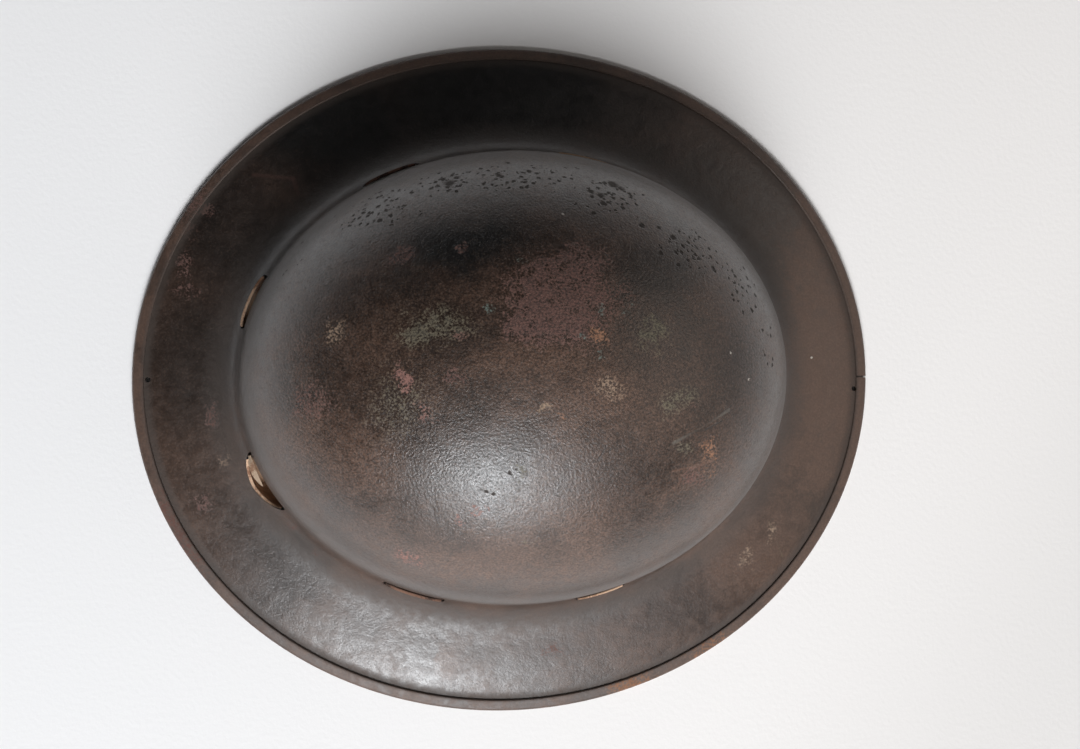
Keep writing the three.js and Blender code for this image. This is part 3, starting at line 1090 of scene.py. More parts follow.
@dataclass(frozen=True)
class TanLeather:
    """Dry tan leather with a fine grain, darker where it has been handled."""

    leather: Leather = Leather.PALE
    grain_size: float = 0.6 * MM
    cloud_size: float = 6 * MM
    grain_height: float = 0.05 * MM
    cloud_height: float = 0.15 * MM
    handled: float = 0.55
    roughness: float = 0.8
    sheen: float = 0.15

    def material(self, effects: Effects) -> bpy.types.Material:
        """Builds the material from the shared shader groups."""
        material, nodes = Nodes.start(f"{self.leather.name.lower()}_leather")
        pale, dark = self.leather.value
        place = nodes.add("ShaderNodeTexCoord").outputs["Object"]
        grain = nodes.group(effects.even, Noise=nodes.noise(place, self.grain_size, 3.0).outputs[0])
        cloud = nodes.group(effects.even, Noise=nodes.noise(place, self.cloud_size, 3.0).outputs[0])
        cover = nodes.maths("MULTIPLY", cloud, self.handled)
        worn = nodes.group(effects.worn_grains, Cover=cover, Clump=cloud, Grain=grain)
        colour = nodes.mix(worn, pale, dark)
        broad = nodes.maths("MULTIPLY", cloud, self.cloud_height)
        height = nodes.maths("MULTIPLY_ADD", grain, self.grain_height, broad)
        bump = nodes.add("ShaderNodeBump", Strength=1.0, Distance=1.0, Height=height)
        shader = nodes.add(
            "ShaderNodeBsdfPrincipled",
            Base_Color=colour,
            Roughness=nodes.maths("MULTIPLY_ADD", worn, -0.15, self.roughness),
            Sheen_Weight=self.sheen,
            Normal=bump.outputs[0],
        )
        nodes.add("ShaderNodeOutputMaterial", Surface=shader.outputs[0])
        return material


@dataclass(frozen=True)
class PaleFloor:
    """A plain pale matt floor, darker far away, with painted warm light towards the right and painted shade
    at one corner.
    """

    name: str = "pale_floor"
    cool: Colour = (0.90, 0.90, 0.905)
    warm: Colour = (0.91, 0.885, 0.865)
    far: Colour = (0.58, 0.57, 0.56)
    near_reach: float = 0.45
    far_reach: float = 1.5
    warm_reach: float = 0.25
    corner_way: tuple[float, float, float] = (0.8, -0.6, 0.0)
    corner_from: float = 0.15
    corner_to: float = 0.29
    corner_shade: float = 0.3
    roughness: float = 0.85

    def material(self) -> bpy.types.Material:
        """Builds the material."""
        material, nodes = Nodes.start(self.name)
        place = nodes.add("ShaderNodeTexCoord").outputs["Object"]
        along = nodes.add("ShaderNodeSeparateXYZ", Vector=place).outputs["X"]
        # Painted warm light: the floor turns warmer towards the right.
        colour = nodes.mix(nodes.remap(along, -self.warm_reach, self.warm_reach), self.cool, self.warm)
        # Painted shade: the floor darkens towards one corner.
        corner = nodes.vector("DOT_PRODUCT", place, self.corner_way).outputs["Value"]
        shade = nodes.remap(corner, self.corner_from, self.corner_to, 0.0, self.corner_shade)
        colour = nodes.mix(shade, colour, self.far)
        away = nodes.vector("LENGTH", place).outputs["Value"]
        colour = nodes.mix(nodes.remap(away, self.near_reach, self.far_reach), colour, self.far)
        bump = nodes.add(
            "ShaderNodeBump", Strength=0.3, Distance=0.0003, Height=nodes.noise(place, 2 * MM).outputs[0]
        )
        shader = nodes.add(
            "ShaderNodeBsdfPrincipled", Base_Color=colour, Roughness=self.roughness, Normal=bump.outputs[0]
        )
        nodes.add("ShaderNodeOutputMaterial", Surface=shader.outputs[0])
        return material


@dataclass(frozen=True)
class LinerSlot:
    """A slot in the fillet.

    Length and opening are shares of the usual slot's. Its leather lies sunk metres below the fillet. A
    fuller slot keeps its width nearer to its ends.
    """

    angle: float
    length: float = 1.0
    opening: float = 1.0
    leather: Leather = Leather.BROWN
    sunk: float = 0.0
    fullness: float = 3.0


@dataclass(frozen=True)
class SlotRow:
    """The slots round the crown's foot, with the sizes that they share."""

    length: float = 24 * MM
    width: float = 2.4 * MM
    inset: float = 1.0 * MM
    end_share: float = 0.15
    slots: tuple[LinerSlot, ...] = (
        LinerSlot(25, opening=0.6, sunk=0.4 * MM),
        LinerSlot(73, opening=0.6, leather=Leather.PALE, sunk=0.4 * MM),
        LinerSlot(115, opening=0.7, sunk=0.6 * MM),
        LinerSlot(158.5, opening=1.1, leather=Leather.PALE),
        LinerSlot(204.5, length=1.15, opening=2.3, leather=Leather.PALE, fullness=1.6),
        LinerSlot(247, length=1.1, opening=0.75, sunk=0.5 * MM),
        LinerSlot(287, length=0.9, opening=0.6, leather=Leather.PALE),
        LinerSlot(335, opening=0.6, sunk=0.4 * MM),
    )

    def opening(self, slot: LinerSlot, share: float) -> float:
        """How wide a slot stands open at a share of its length."""
        from_middle = min(abs(2 * share - 1), 1.0)
        open_share = max((1 - from_middle**slot.fullness) ** (1 / slot.fullness), self.end_share)
        return self.width * slot.opening * open_share


@dataclass
class PressedShell:
    """The steel shell: crown, fillet and brim in one sheet, with its slots and small holes."""

    form: HelmetForm
    row: SlotRow
    finish: AgedSteel
    round_steps: int = 240
    crown_steps: int = 30
    fillet_steps: int = 9
    brim_steps: int = 10
    smooth_below: float = 38.0
    hole_diameter: float = 2.2 * MM
    holes: tuple[tuple[float, float], ...] = ((-3.9, 1.08), (178.1, 1.25))

    def build(self, effects: Effects) -> bpy.types.Object:
        """Raises the shell, pierces it and dresses it.

        Args:
            effects: the shared shader groups.

        Returns:
            The shell.
        """
        steps = (self.crown_steps, self.fillet_steps, self.brim_steps)
        outer = self.form.face_rings(0.0, *steps)
        inner = self.form.face_rings(self.form.steel_wall, *steps)
        shell = Bench.raise_skin("pressed_shell", [*inner, *reversed(outer)], self.round_steps)
        Bench.cut(shell, [self._slot_cutter(slot) for slot in self.row.slots])
        Bench.cut(shell, self.drills())
        Bench.smooth(shell, self.smooth_below)
        shell.data.materials.append(self.finish.material(self.form, effects))
        Bench.hand_over(shell, "shell", "aged_steel")
        return shell

    def _slot_cutter(self, slot: LinerSlot) -> bpy.types.Object:
        """The upright cutter of one slot: straight on the crown's side and rounded on the brim's."""
        half = self.form.half_turn(self.row.length * slot.length, slot.angle)
        turn = Turn(slot.angle - half, slot.angle + half)
        low = self.form.foot_height - self.form.fillet_radius - 2 * self.form.steel_wall
        high = self.form.foot_height
        full = self.row.inset + self.row.width * slot.opening
        section = [
            self.form.brim_oval(self.row.inset, low),
            self.form.brim_oval(full, low),
            self.form.brim_oval(full, high),
            self.form.brim_oval(self.row.inset, high),
        ]
        cutter = Bench.raise_skin("slot_cutter", section, FINE_STEPS, turn, closed=True)
        oval = self.form.brim_oval(self.row.inset, 0.0)
        for vertex in cutter.data.vertices:
            angle = math.radians(self.form.turn_angle(vertex.co, full))
            near = Vector((oval.half_length * math.cos(angle), oval.half_width * math.sin(angle), 0.0))
            if (vertex.co.xy - near.xy).length < 0.5 * (full - self.row.inset):
                continue
            share = ((math.degrees(angle) - turn.start) % 360.0) / (2 * half)
            opened = self.row.opening(slot, min(max(share, 0.0), 1.0)) / (full - self.row.inset)
            vertex.co.xy = near.xy.lerp(vertex.co.xy, opened)
        return cutter

    def drills(self) -> list[bpy.types.Object]:
        """The cutters of the two small holes beside the rim band."""
        cutters = []
        for angle, inset_share in self.holes:
            place = self.form.rim_point(angle, self.form.band_width * inset_share)
            cutters.append(Bench.drill("hole_drill", place, self.hole_diameter, CUTTER_HEIGHT))
        return cutters


@dataclass
class RimBand:
    """The folded steel band clasped round the brim's edge."""

    form: HelmetForm
    finish: AgedSteel
    joint_gap: float = 0.7 * MM
    joint_angle: float = -1.7
    chamfer: float = 0.3 * MM
    smooth_below: float = 35.0
    nose_steps: int = 8
    round_steps: int = 240

    def _point(self, along: float, off: float) -> Oval:
        """A ring of the band: along runs down the brim from the nose's middle, off out of it."""
        point = self.form.nose_centre + self.form.down_brim * along + self.form.off_brim * off
        return self.form.brim_oval(point.x, point.y)

    def _nose(self, radius: float) -> list[Oval]:
        """The rings of the round nose at a radius, from its upper side to its lower one."""
        slope = self.form.brim_slope
        turns = [
            (math.pi / 2 - slope) - (math.pi - 2 * slope) * i / self.nose_steps
            for i in range(self.nose_steps + 1)
        ]
        turns.append(-math.pi / 2 - slope)
        centre = self.form.nose_centre
        return [
            self.form.brim_oval(centre.x + radius * math.cos(turn), centre.y + radius * math.sin(turn))
            for turn in turns
        ]

    def build(self, effects: Effects, drills: list[bpy.types.Object]) -> bpy.types.Object:
        """Folds the band round the brim, cuts its joint and dresses it.

        Args:
            effects: the shared shader groups.
            drills: the cutters of the small holes.

        Returns:
            The band.
        """
        inner, outer = self.form.nose_inner, self.form.nose_outer
        leg_end = outer - self.form.band_width
        section = [
            self._point(leg_end, inner),
            *self._nose(inner),
            self._point(leg_end, -inner),
            self._point(leg_end, -outer + self.chamfer),
            self._point(leg_end + self.chamfer, -outer),
            *reversed(self._nose(outer)),
            self._point(leg_end + self.chamfer, outer),
            self._point(leg_end, outer - self.chamfer),
        ]
        band = Bench.raise_skin("folded_rim_band", section, self.round_steps, closed=True)
        place = self.form.rim_point(self.joint_angle)
        heading = math.atan2(place.y, place.x)
        saw = Bench.saw("joint_saw", place, Vector((CUTTER_HEIGHT, self.joint_gap, CUTTER_HEIGHT)), heading)
        Bench.cut(band, [saw, *drills])
        Bench.smooth(band, self.smooth_below)
        band.data.materials.append(self.finish.material(self.form, effects))
        Bench.hand_over(band, "rim_band", "band_steel")
        return band


@dataclass
class Liner:
    """The leather sweatband inside the crown, and the eight tongues that come up through the slots."""

    form: HelmetForm
    row: SlotRow
    hoop_wall: float = 2.0 * MM
    hoop_height: float = 34 * MM
    hoop_drop: float = 4 * MM
    hoop_round: float = 0.4 * MM
    hoop_steps: int = 12
    clearance: float = 0.3 * MM
    tongue_wall: float = 1.2 * MM
    tongue_round: float = 0.2 * MM
    tongue_share: float = 0.93
    tongue_rise: float = 20 * MM
    tongue_proud: float = 0.5 * MM
    tongue_steps: int = 4
    fold_steps: int = 8
    sprung: int = 5
    slot_gap: float = 0.08 * MM
    strip_from: float = 0.10
    flap_from: float = 0.05
    flap_to: float = 0.56
    flap_wall: float = 0.7 * MM
    flap_width: float = 2.3 * MM
    flap_dive: float = 3.0 * MM
    flap_slant: float = 1.3 * MM
    flap_tip: float = 0.12
    flap_span: float = 0.86
    flap_roundness: float = 0.8
    finishes: dict[Leather, bpy.types.Material] = field(default_factory=dict, init=False)

    def build(self, effects: Effects) -> list[bpy.types.Object]:
        """Builds the sweatband and the tongues.

        Args:
            effects: the shared shader groups.

        Returns:
            The pieces.
        """
        self.finishes = {leather: TanLeather(leather).material(effects) for leather in Leather}
        pieces = [self._sweatband()]
        for number, slot in enumerate(self.row.slots, start=1):
            tongue = self._tongue(number, slot)
            if number == self.sprung:
                self._join(tongue, self._flap(slot))
            Bench.hand_over(tongue, f"liner_tongue_{number}", "tan_leather")
            pieces.append(tongue)
        return pieces

    def _sweatband(self) -> bpy.types.Object:
        """The hoop that follows the crown's wall."""
        outer = self.form.steel_wall + self.clearance
        inner = outer + self.hoop_wall
        low, high = -self.hoop_drop, self.hoop_height - self.hoop_drop
        rises = [low + (high - low) * i / self.hoop_steps for i in range(self.hoop_steps + 1)]
        section = [self.form.crown_oval(rise, outer) for rise in rises]
        section += [self.form.crown_oval(rise, inner) for rise in reversed(rises)]
        hoop = Bench.raise_skin("leather_sweatband", section, 180, closed=True)
        Bench.soften(hoop, self.hoop_round, LEATHER_SOFT_OVER)
        Bench.smooth(hoop, LEATHER_SMOOTH_BELOW)
        # Near-black leather, so that the gaps of the slots stay dark: partly painted shade.
        hoop.data.materials.append(self.finishes[Leather.BROWN])
        Bench.hand_over(hoop, "sweatband", "tan_leather")
        return hoop

    def _tongue(self, number: int, slot: LinerSlot) -> bpy.types.Object:
        """One tongue: down the sweatband's inside, round under it and up along its slot's far edge.

        Args:
            number: the tongue's number, from the back round the helmet.
            slot: the slot that it comes out of.

        Returns:
            The tongue.
        """
        inner_face = self.form.steel_wall + self.hoop_wall + 2 * self.clearance
        inner_middle = inner_face + self.tongue_wall / 2
        wall = min(self.tongue_wall, self.row.width * slot.opening - 2 * self.clearance)
        outer_middle = self.row.inset + self.row.width * slot.opening - self.slot_gap - wall / 2
        start_share = self.strip_from if number == self.sprung else (1 - self.tongue_share) / 2
        turn = self._part_turn(slot, start_share, (1 + self.tongue_share) / 2)
        end_height = self.form.fillet_height(outer_middle, 0.0) + self.tongue_proud - slot.sunk
        low_height = self.form.fillet_height(outer_middle, self.form.steel_wall) - self.clearance
        centre = (outer_middle - inner_middle) / 2
        radius = (outer_middle + inner_middle) / 2
        rises = [self.tongue_rise * i / self.tongue_steps for i in range(self.tongue_steps + 1)]
        bend = [math.pi * (1 + i / self.fold_steps) for i in range(self.fold_steps + 1)]

        def curl(of_radius: float) -> list[Oval]:
            """The rings of the fold under the sweatband."""
            return [
                self.form.brim_oval(
                    centre + of_radius * math.cos(angle), low_height + of_radius * math.sin(angle)
                )
                for angle in bend
            ]

        section = [
            *[self.form.crown_oval(rise, inner_face + wall) for rise in reversed(rises)],
            *curl(radius + wall / 2),
            self.form.brim_oval(outer_middle + wall / 2, end_height),
            self.form.brim_oval(outer_middle - wall / 2, end_height),
            *reversed(curl(radius - wall / 2)),
            *[self.form.crown_oval(rise, inner_face) for rise in rises],
        ]
        tongue = Bench.raise_skin(f"leather_tongue_{number}", section, FINE_STEPS, turn, closed=True)
        self._follow_slot(tongue, slot, outer_middle)
        Bench.soften(tongue, self.tongue_round, LEATHER_SOFT_OVER)
        Bench.smooth(tongue, LEATHER_SMOOTH_BELOW)
        tongue.data.materials.append(self.finishes[slot.leather])
        return tongue

    def _part_turn(self, slot: LinerSlot, start_share: float, end_share: float) -> Turn:
        """The turn between two shares of a slot's length."""
        half = self.form.half_turn(self.row.length * slot.length, slot.angle)
        start = slot.angle - half
        return Turn(start + 2 * half * start_share, start + 2 * half * end_share)

    def _share(self, slot: LinerSlot, point: Vector) -> float:
        """How far along a slot a point lies, from 0 to 1."""
        half = self.form.half_turn(self.row.length * slot.length, slot.angle)
        angle = self.form.turn_angle(point, self.row.inset)
        share = ((angle - slot.angle + 180.0) % 360.0 - 180.0 + half) / (2 * half)
        return min(max(share, 0.0), 1.0)

    def _follow_slot(self, tongue: bpy.types.Object, slot: LinerSlot, outer_middle: float) -> None:
        """Draws the outer leg of a tongue in to the slot's far edge, which closes towards its ends."""
        for vertex in tongue.data.vertices:
            outside, away = self.form.beside_foot(vertex.co)
            if outside <= 0:
                continue
            closed = self.row.width * slot.opening - self.row.opening(slot, self._share(slot, vertex.co))
            shift = closed * min(outside / outer_middle, 1.0)
            lift = self.form.fillet_height(outer_middle - closed, 0.0)
            lift -= self.form.fillet_height(outer_middle, 0.0)
            vertex.co.xy = vertex.co.xy - away * shift
            vertex.co.z += lift * min(outside / outer_middle, 1.0)

    def _flap(self, slot: LinerSlot) -> bpy.types.Object:
        """The loose leaf of leather that lies in the upper part of the sprung slot."""
        turn = self._part_turn(slot, self.flap_from, self.flap_to)
        near = self.row.inset + self.clearance
        far = near + self.flap_width
        near_height = self.form.fillet_height(near + self.flap_width / 2, 0.0)
        far_height = self.form.fillet_height(far, 0.0) + self.tongue_proud
        section = [
            self.form.brim_oval(near, near_height),
            self.form.brim_oval(far, far_height),
            self.form.brim_oval(far, far_height - self.flap_wall),
            self.form.brim_oval(near, near_height - self.flap_wall),
        ]
        flap = Bench.raise_skin("loose_flap", section, FINE_STEPS, turn, closed=True)
        for vertex in flap.data.vertices:
            outside, away = self.form.beside_foot(vertex.co)
            along = (self._share(slot, vertex.co) - self.flap_from) / (self.flap_to - self.flap_from)
            along = min(max(along, 0.0), 1.0)
            swell = math.sin(math.pi * (self.flap_tip + self.flap_span * along))
            width = self.flap_width * swell**self.flap_roundness
            start = near + self.flap_slant * along
            wanted = start + width * (outside - near) / self.flap_width
            vertex.co.xy = vertex.co.xy + away * (wanted - outside)
            vertex.co.z -= self.flap_dive * along**2
        Bench.smooth(flap, LEATHER_SMOOTH_BELOW)
        flap.data.materials.append(self.finishes[Leather.CREAM])
        return flap

    @staticmethod
    def _join(tongue: bpy.types.Object, flap: bpy.types.Object) -> None:
        """Joins the loose flap to its tongue as one piece."""
        Bench.pick_up(tongue)
        flap.select_set(True)
        bpy.ops.object.join()


@dataclass(frozen=True)
class SoftPanel:
    """A soft rectangular light that faces the helmet."""

    name: str
    azimuth: float
    elevation: float
    distance: float
    width: float
    height: float
    brightness: float
    colour: Colour
    mirrored: bool = True

    def hang(self, aim: Vector) -> None:
        """Hangs the panel so that it faces a point."""
        turn, lift = math.radians(self.azimuth), math.radians(self.elevation)
        away = Vector((math.cos(lift) * math.cos(turn), math.cos(lift) * math.sin(turn), math.sin(lift)))
        lamp = bpy.data.lights.new(self.name, "AREA")
        lamp.shape = "RECTANGLE"
        lamp.size = self.width
        lamp.size_y = self.height
        lamp.color = self.colour
        lamp.energy = self.brightness * math.pi * self.width * self.height
        holder = bpy.data.objects.new(self.name, lamp)
        bpy.context.scene.collection.objects.link(holder)
        holder.location = aim + away * self.distance
        holder.rotation_euler = away.to_track_quat("Z", "Y").to_euler()
        holder.visible_glossy = self.mirrored


@dataclass
class Studio:
    """The floor, the soft light and the camera at the photograph's angle."""

    floor_size: float = 6.0
    panels: tuple[SoftPanel, ...] = (
        SoftPanel("window", -98, 40, 2.6, 0.72, 1.02, 16.0, (0.95, 0.975, 1.0)),
        SoftPanel("window_fill", -94, 38, 5.0, 3.8, 2.8, 7.2, (0.985, 0.99, 1.0), mirrored=False),
        SoftPanel("window_side", -66, 47, 2.6, 0.8, 0.9, 0.8, (0.97, 0.97, 1.0)),
        SoftPanel("right_wall", 5, 36, 2.5, 3.0, 1.6, 0.46, (1.0, 0.92, 0.85)),
        SoftPanel("ceiling", -90, 82, 2.4, 2.4, 2.0, 0.14, (1.0, 0.96, 0.93)),
    )
    sky_high: Colour = (0.012, 0.012, 0.013)
    sky_low: Colour = (0.035, 0.034, 0.034)
    camera_place: tuple[float, float, float] = (-0.1321, -0.01736, 1.0)
    camera_aim: tuple[float, float, float] = (0.0144, 0.00138, 0.0)
    camera_roll: float = -0.0355
    light_aim: tuple[float, float, float] = (0.0, 0.0, 0.05)
    sky_reach: float = 0.45
    sensor: float = 36.0
    lens: float = 79.57

    def build(self) -> None:
        """Sets up the whole studio."""
        self._floor()
        for panel in self.panels:
            panel.hang(Vector(self.light_aim))
        self._sky()
        self._camera()
        bpy.context.scene.view_settings.view_transform = "Standard"

    def _floor(self) -> None:
        """A plain pale floor."""
        Bench.put_down()
        bpy.ops.mesh.primitive_plane_add(size=self.floor_size)
        floor = bpy.context.object
        floor.name = "floor"
        floor.data.materials.append(PaleFloor().material())

    def _sky(self) -> None:
        """Dim light from all round."""
        world = bpy.data.worlds.new("dim_room")
        world.use_nodes = True
        nodes = Nodes(world.node_tree)
        heading = nodes.add("ShaderNodeTexCoord").outputs["Generated"]
        up = nodes.add("ShaderNodeSeparateXYZ", Vector=heading).outputs["Z"]
        colour = nodes.mix(nodes.remap(up, 0.0, self.sky_reach), self.sky_low, self.sky_high)
        nodes.feed(world.node_tree.nodes["Background"].inputs["Color"], colour)
        bpy.context.scene.world = world

    def _camera(self) -> None:
        """The camera, rolled a little as the photograph is."""
        place, aim = Vector(self.camera_place), Vector(self.camera_aim)
        forward = (aim - place).normalized()
        right = forward.cross(Vector((0.0, 1.0, 0.0))).normalized()
        up = right.cross(forward)
        rolled_right = right * math.cos(self.camera_roll) + up * math.sin(self.camera_roll)
        rolled_up = up * math.cos(self.camera_roll) - right * math.sin(self.camera_roll)
        lens = bpy.data.cameras.new("camera")
        lens.sensor_fit = "HORIZONTAL"
        lens.sensor_width = self.sensor
        lens.lens = self.lens
        lens.clip_start = 0.01
        camera = bpy.data.objects.new("camera", lens)
        bpy.context.scene.collection.objects.link(camera)
        turned = Matrix((rolled_right, rolled_up, -forward)).transposed().to_4x4()
        camera.matrix_world = Matrix.Translation(place) @ turned
        bpy.context.scene.camera = camera


SHELL_STAINS = (
    Stain(Tone.RED, 10.0, 29.0, 29.0, 25.0, 0.80, 0.25),
    Stain(Tone.RED, -3.2, 20.9, 15.0, 14.0, 0.95, 0.3),
    Stain(Tone.RED, 17.5, 44.6, 15.5, 10.3, 0.70),
    Stain(Tone.RED, -51.6, 46.4, 6.2, 8.3, 0.75),
    Stain(Tone.RED, -27.5, 49.1, 4.3, 5.7, 0.65),
    Stain(Tone.RED, -33.0, 12.4, 4.3, 3.4, 0.50),
    Stain(Tone.RED, -32.1, -0.1, 10.1, 3.0, 0.60),
    Stain(Tone.RED, -86.8, -7.7, 14.5, 10.9, 0.45),
    Stain(Tone.RED, 61.1, -14.9, 3.4, 2.8, 0.50),
    Stain(Tone.RED, 60.1, -42.6, 11.3, 4.4, 0.50),
    Stain(Tone.RED, -124.6, 74.3, 6.1, 4.3, 0.60),
    Stain(Tone.RED, -131.4, 67.5, 4.3, 5.1, 0.55),
    Stain(Tone.RED, -134.3, 53.4, 3.9, 9.3, 0.50),
    Stain(Tone.RED, -134.3, 40.9, 8.7, 6.7, 0.40),
    Stain(Tone.RED, -122.2, -11.9, 3.9, 7.5, 0.50),
    Stain(Tone.RED, -129.4, -47.0, 6.1, 5.9, 0.50),
    Stain(Tone.RED, -91.5, -57.8, 6.0, 3.8, 0.40),
    Stain(Tone.RED, -84.8, -68.0, 5.1, 3.4, 0.30),
    Stain(Tone.RED, 13.7, -113.9, 9.0, 5.5, 0.45),
    Stain(Tone.RED, -7.8, -96.3, 5.9, 2.6, 0.35),
    Stain(Tone.PINK, -52.0, -0.1, 5.3, 6.8, 0.90),
    Stain(Tone.PINK, -46.5, -15.4, 6.0, 6.5, 0.50),
    Stain(Tone.PINK, -24.0, -50.7, 4.7, 3.1, 0.50),
    Stain(Tone.PINK, -31.4, -54.3, 3.9, 2.8, 0.50),
    Stain(Tone.PINK, -48.1, -70.1, 10.1, 8.3, 0.35),
    Stain(Tone.TAN, -77.1, 16.4, 6.6, 7.8, 0.55),
    Stain(Tone.TAN, 25.8, -6.2, 8.5, 6.5, 0.45),
    Stain(Tone.TAN, 2.6, -13.4, 3.4, 3.1, 0.80),
    Stain(Tone.TAN, -118.7, -29.3, 5.2, 4.2, 0.30),
    Stain(Tone.TAN, 99.7, -77.0, 4.0, 6.1, 0.50),
    Stain(Tone.TAN, 110.6, -69.0, 4.4, 5.2, 0.45),
    Stain(Tone.OLIVE, -40.9, 17.7, 20.5, 11.6, 0.60),
    Stain(Tone.OLIVE, -53.7, -8.4, 20.4, 19.1, 0.35),
    Stain(Tone.OLIVE, 42.9, 12.1, 10.4, 7.7, 0.65),
    Stain(Tone.OLIVE, 54.6, -11.3, 12.5, 7.8, 0.55),
    Stain(Tone.OLIVE, 55.8, -32.2, 10.1, 3.7, 0.55),
    Stain(Tone.OLIVE, -2.5, -64.6, 2.7, 2.5, 0.60),
    Stain(Tone.OLIVE, -10.7, -37.6, 6.5, 5.0, 0.60),
    Stain(Tone.TEAL, 24.3, 24.9, 1.9, 4.3, 0.80),
    Stain(Tone.TEAL, 16.1, 15.0, 2.3, 2.3, 0.80),
    Stain(Tone.TEAL, 21.2, 6.9, 3.8, 2.3, 0.80),
    Stain(Tone.TEAL, 31.7, 22.0, 2.4, 2.4, 0.70),
    Stain(Tone.TEAL, -19.1, 28.0, 2.7, 5.1, 0.55),
    Stain(Tone.TEAL, -6.1, 42.8, 6.1, 2.5, 0.40),
    Stain(Tone.ORANGE, 22.8, 14.5, 4.6, 4.2, 0.85),
    Stain(Tone.ORANGE, 8.8, -16.7, 2.7, 1.9, 0.80),
    Stain(Tone.ORANGE, 69.5, -34.0, 7.8, 8.4, 0.50),
    Stain(Tone.BROWN, -74.3, -26.7, 28.5, 24.9, 0.40),
    Stain(Tone.BROWN, 21.8, -11.0, 26.1, 18.4, 0.60),
    Stain(Tone.BROWN, 1.0, 6.7, 30.3, 11.4, 0.60),
    Stain(Tone.BROWN, 55.7, -44.0, 18.8, 9.7, 0.55),
    Stain(Tone.BROWN, -15.0, -71.8, 47.2, 15.0, 0.50),
    Stain(Tone.BROWN, 23.1, -57.4, 23.6, 19.0, 0.45),
    Stain(Tone.BROWN, -31.0, -118.9, 8.0, 8.0, 0.90),
    Stain(Tone.BROWN, 133.9, -5.0, 27.1, 64.5, 0.75),
    Stain(Tone.BROWN, 96.1, -80.2, 30.7, 26.2, 0.70),
    Stain(Tone.BROWN, -118.3, -71.0, 21.6, 25.4, 0.15),
    Stain(Tone.BROWN, 97.6, 77.0, 26.4, 26.2, 0.12),
    Stain(Tone.BROWN, -132.2, 3.7, 21.8, 54.0, 0.35),
)

SHELL_BARE_AND_SHADED = (
    Bare(-28.0, 51.0, 33.0, 17.0, 1.0),
    Bare(-46.0, 36.0, 20.0, 15.0, 0.6),
    Bare(45.4, 38.0, 20.0, 16.0, 0.6),
    Bare(-104.0, -70.0, 30.0, 30.0, 0.4),
    Bare(-20.0, -40.0, 25.0, 23.0, 0.45),
    Bare(38.0, -50.0, 30.0, 24.0, 0.35),
    Bare(100.0, 75.0, 34.0, 30.0, 0.35),
    Bare(82.1, -4.9, 20.0, 30.0, 0.45),
    # These two clear the film off the brim's top, where the crown's shadow falls: painted shade over the
    # rendered shadow.
    Bare(0.0, 120.0, 95.0, 34.0, 1.0),
    Bare(-70.0, 108.0, 60.0, 36.0, 1.0),
    Bare(-112.0, 70.0, 40.0, 46.0, 0.7),
    Bare(-128.0, 10.0, 34.0, 46.0, 0.75),
    Bare(-100.0, 48.0, 16.0, 30.0, 0.7),
)

SHELL_PIT_ZONES = (
    Bare(-29.0, 77.0, 17.0, 8.0, 1.0),
    Bare(34.0, 70.0, 20.0, 12.0, 1.0),
    Bare(-58.0, 67.0, 25.0, 10.0, 0.9),
    Bare(66.0, 48.0, 19.0, 13.0, 0.85),
    Bare(86.0, 33.0, 14.0, 17.0, 0.7),
    Bare(97.0, 12.0, 8.0, 18.0, 0.35),
    Bare(0.0, 78.0, 34.0, 8.0, 0.75),
    Bare(-92.0, 45.0, 12.0, 10.0, 0.3),
    Bare(-11.0, -38.0, 7.5, 5.5, 0.3),
)

SHELL_PITS = tuple(
    Pit(*row)
    for row in (
        (-28.9, 76.3, 2.8),
        (-31.9, 78.4, 1.2),
        (-25.7, 78.9, 1.6),
        (36.4, 74.6, 3.2),
        (29.8, 69.5, 2.0),
        (30.3, 66.0, 1.6),
        (26.0, 71.2, 1.6),
        (39.4, 72.8, 2.0),
        (-86.1, 56.3, 1.2),
        (-62.3, 66.2, 1.2),
        (-67.1, 62.7, 1.0),
        (-56.8, 68.3, 1.2),
        (-53.8, 70.7, 1.2),
        (61.2, 48.7, 1.2),
        (67.6, 48.0, 1.2),
        (73.6, 39.9, 1.2),
        (83.0, 38.9, 1.2),
        (83.7, 30.3, 1.2),
        (93.3, 29.0, 1.2),
        (57.3, 52.0, 1.6),
        (51.9, 56.1, 1.2),
        (42.9, 69.8, 1.2),
        (-9.4, 79.0, 1.6),
        (2.8, 80.5, 1.6),
        (5.8, 79.5, 1.2),
        (-36.4, 74.5, 1.2),
        (-39.7, 77.2, 1.0),
        (-47.2, 67.8, 1.2),
        (-22.0, -44.2, 1.0),
        (-19.3, -45.4, 1.0),
        (44.6, 56.8, 1.6),
        (25.4, 62.1, 1.2),
    )
)

SHELL_SPECKS = (
    Pit(77.7, 5.8, 0.6),
    Pit(86.1, -4.6, 0.7),
    Pit(130.1, 4.5, 0.7),
    Pit(12.8, 61.8, 0.6),
)

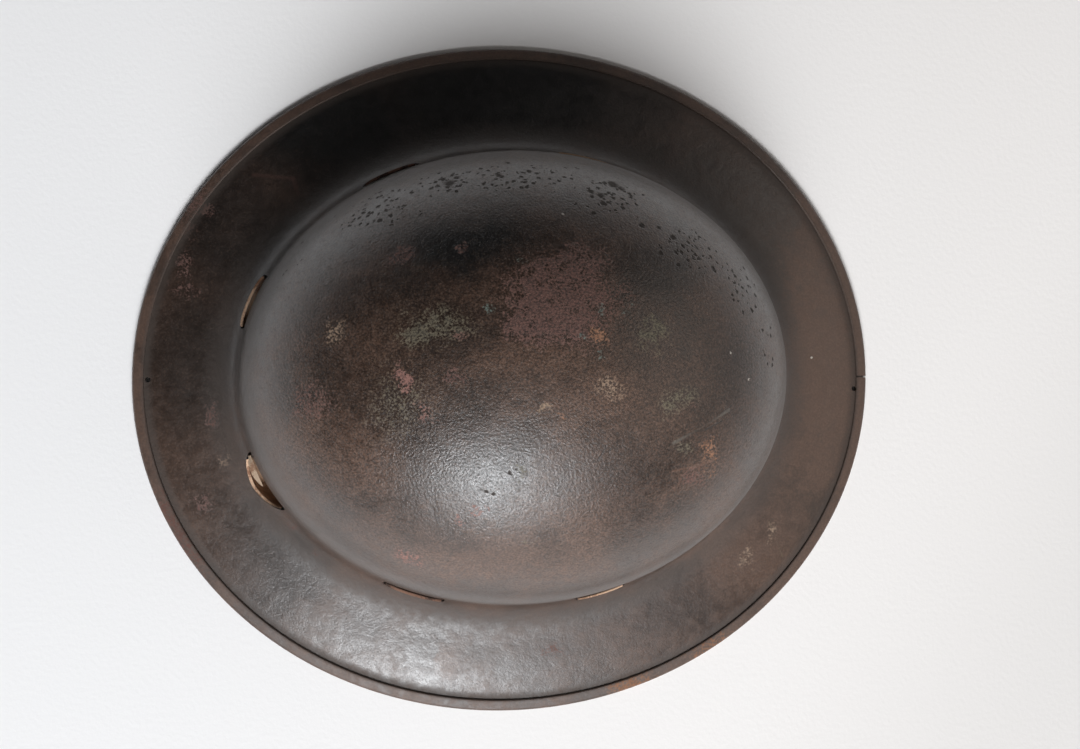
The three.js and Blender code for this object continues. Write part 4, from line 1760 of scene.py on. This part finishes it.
SHELL_STROKES = (
    Stroke((51.8, -28.5), (76.2, -16.5), 1.1, (0.16, 0.15, 0.13), 0.45, 0.0),
    Stroke((65.3, -24.0), (73.0, -20.7), 0.5, (0.02, 0.016, 0.014), 0.8, -0.05),
    Stroke((2.2, -29.3), (17.7, -18.5), 0.45, (0.03, 0.022, 0.02), 0.6, -0.05),
    Stroke((21.0, -33.9), (24.1, -28.6), 0.5, (0.02, 0.018, 0.018), 0.7, -0.04),
    Stroke((-103.3, 87.8), (-87.3, 85.5), 1.4, (0.09, 0.045, 0.035), 0.5, 0.0),
    Stroke((-87.3, 85.5), (-85.6, 79.1), 1.4, (0.09, 0.045, 0.035), 0.5, 0.0),
    Stroke((51.9, -39.5), (69.6, -36.3), 0.8, (0.17, 0.09, 0.06), 0.5, 0.0),
    Stroke((97.0, -80.3), (113.3, -76.0), 0.6, (0.2, 0.15, 0.1), 0.5, 0.0),
    Stroke((108.8, -64.6), (115.2, -79.5), 0.7, (0.2, 0.15, 0.1), 0.45, 0.0),
)

BAND_STAINS = (
    Stain(Tone.RED, -138.0, -58.0, 22.0, 26.0, 0.60),
    Stain(Tone.ORANGE, 50.0, -132.0, 18.0, 8.0, 0.60),
    Stain(Tone.ORANGE, 84.0, -117.0, 16.0, 10.0, 0.50),
    Stain(Tone.RED, -128.0, 78.0, 14.0, 14.0, 0.45),
    Stain(Tone.BROWN, 140.0, 0.0, 30.0, 90.0, 0.60),
)


def main() -> None:
    """Builds the helmet and its studio, and reports each piece."""
    logging.basicConfig(level=logging.INFO, format="%(name)s %(message)s")
    form = HelmetForm()
    row = SlotRow()
    effects = Effects()
    shell = PressedShell(
        form,
        row,
        AgedSteel(
            "aged_shell_steel",
            stains=SHELL_STAINS,
            bare_and_shaded=SHELL_BARE_AND_SHADED,
            pits=SHELL_PITS,
            pit_zones=SHELL_PIT_ZONES,
            specks=SHELL_SPECKS,
            strokes=SHELL_STROKES,
            dirt_and_painted_light_rings=(
                DirtAndPaintedLightRing(form.band_inner_length, form.band_inner_width, 4.0, 3.0, 0.7),
                # Pale ring just inside the crown's foot: a painted reflection of the bright floor on the
                # lower wall.
                DirtAndPaintedLightRing(
                    form.foot_half_length - 2.0 * MM,
                    form.foot_half_width - 2.0 * MM,
                    5.0,
                    4.0,
                    0.5,
                    colour=(0.15, 0.14, 0.135),
                ),
                # Dark brown ring over the fillet: soiling, and painted shade in the crease between crown and
                # brim.
                DirtAndPaintedLightRing(
                    form.foot_half_length + form.fillet_reach * 0.6,
                    form.foot_half_width + form.fillet_reach * 0.6,
                    form.fillet_reach * 0.45 / MM,
                    form.fillet_reach * 0.9 / MM,
                    0.5,
                    colour=(0.052, 0.039, 0.032),
                ),
            ),
        ),
    )
    band = RimBand(
        form,
        AgedSteel(
            "aged_band_steel",
            film_cover=0.9,
            coat_roughness=0.42,
            stains=BAND_STAINS,
            dirt_and_painted_light_rings=(DirtAndPaintedLightRing(form.band_inner_length, form.band_inner_width, 2.0, 2.2, 0.8),),
        ),
    )
    liner = Liner(form, row)
    shell.build(effects)
    band.build(effects, shell.drills())
    pieces = liner.build(effects)
    log.info("liner: %d pieces", len(pieces))
    Studio().build()


if __name__ == "__main__":
    main()
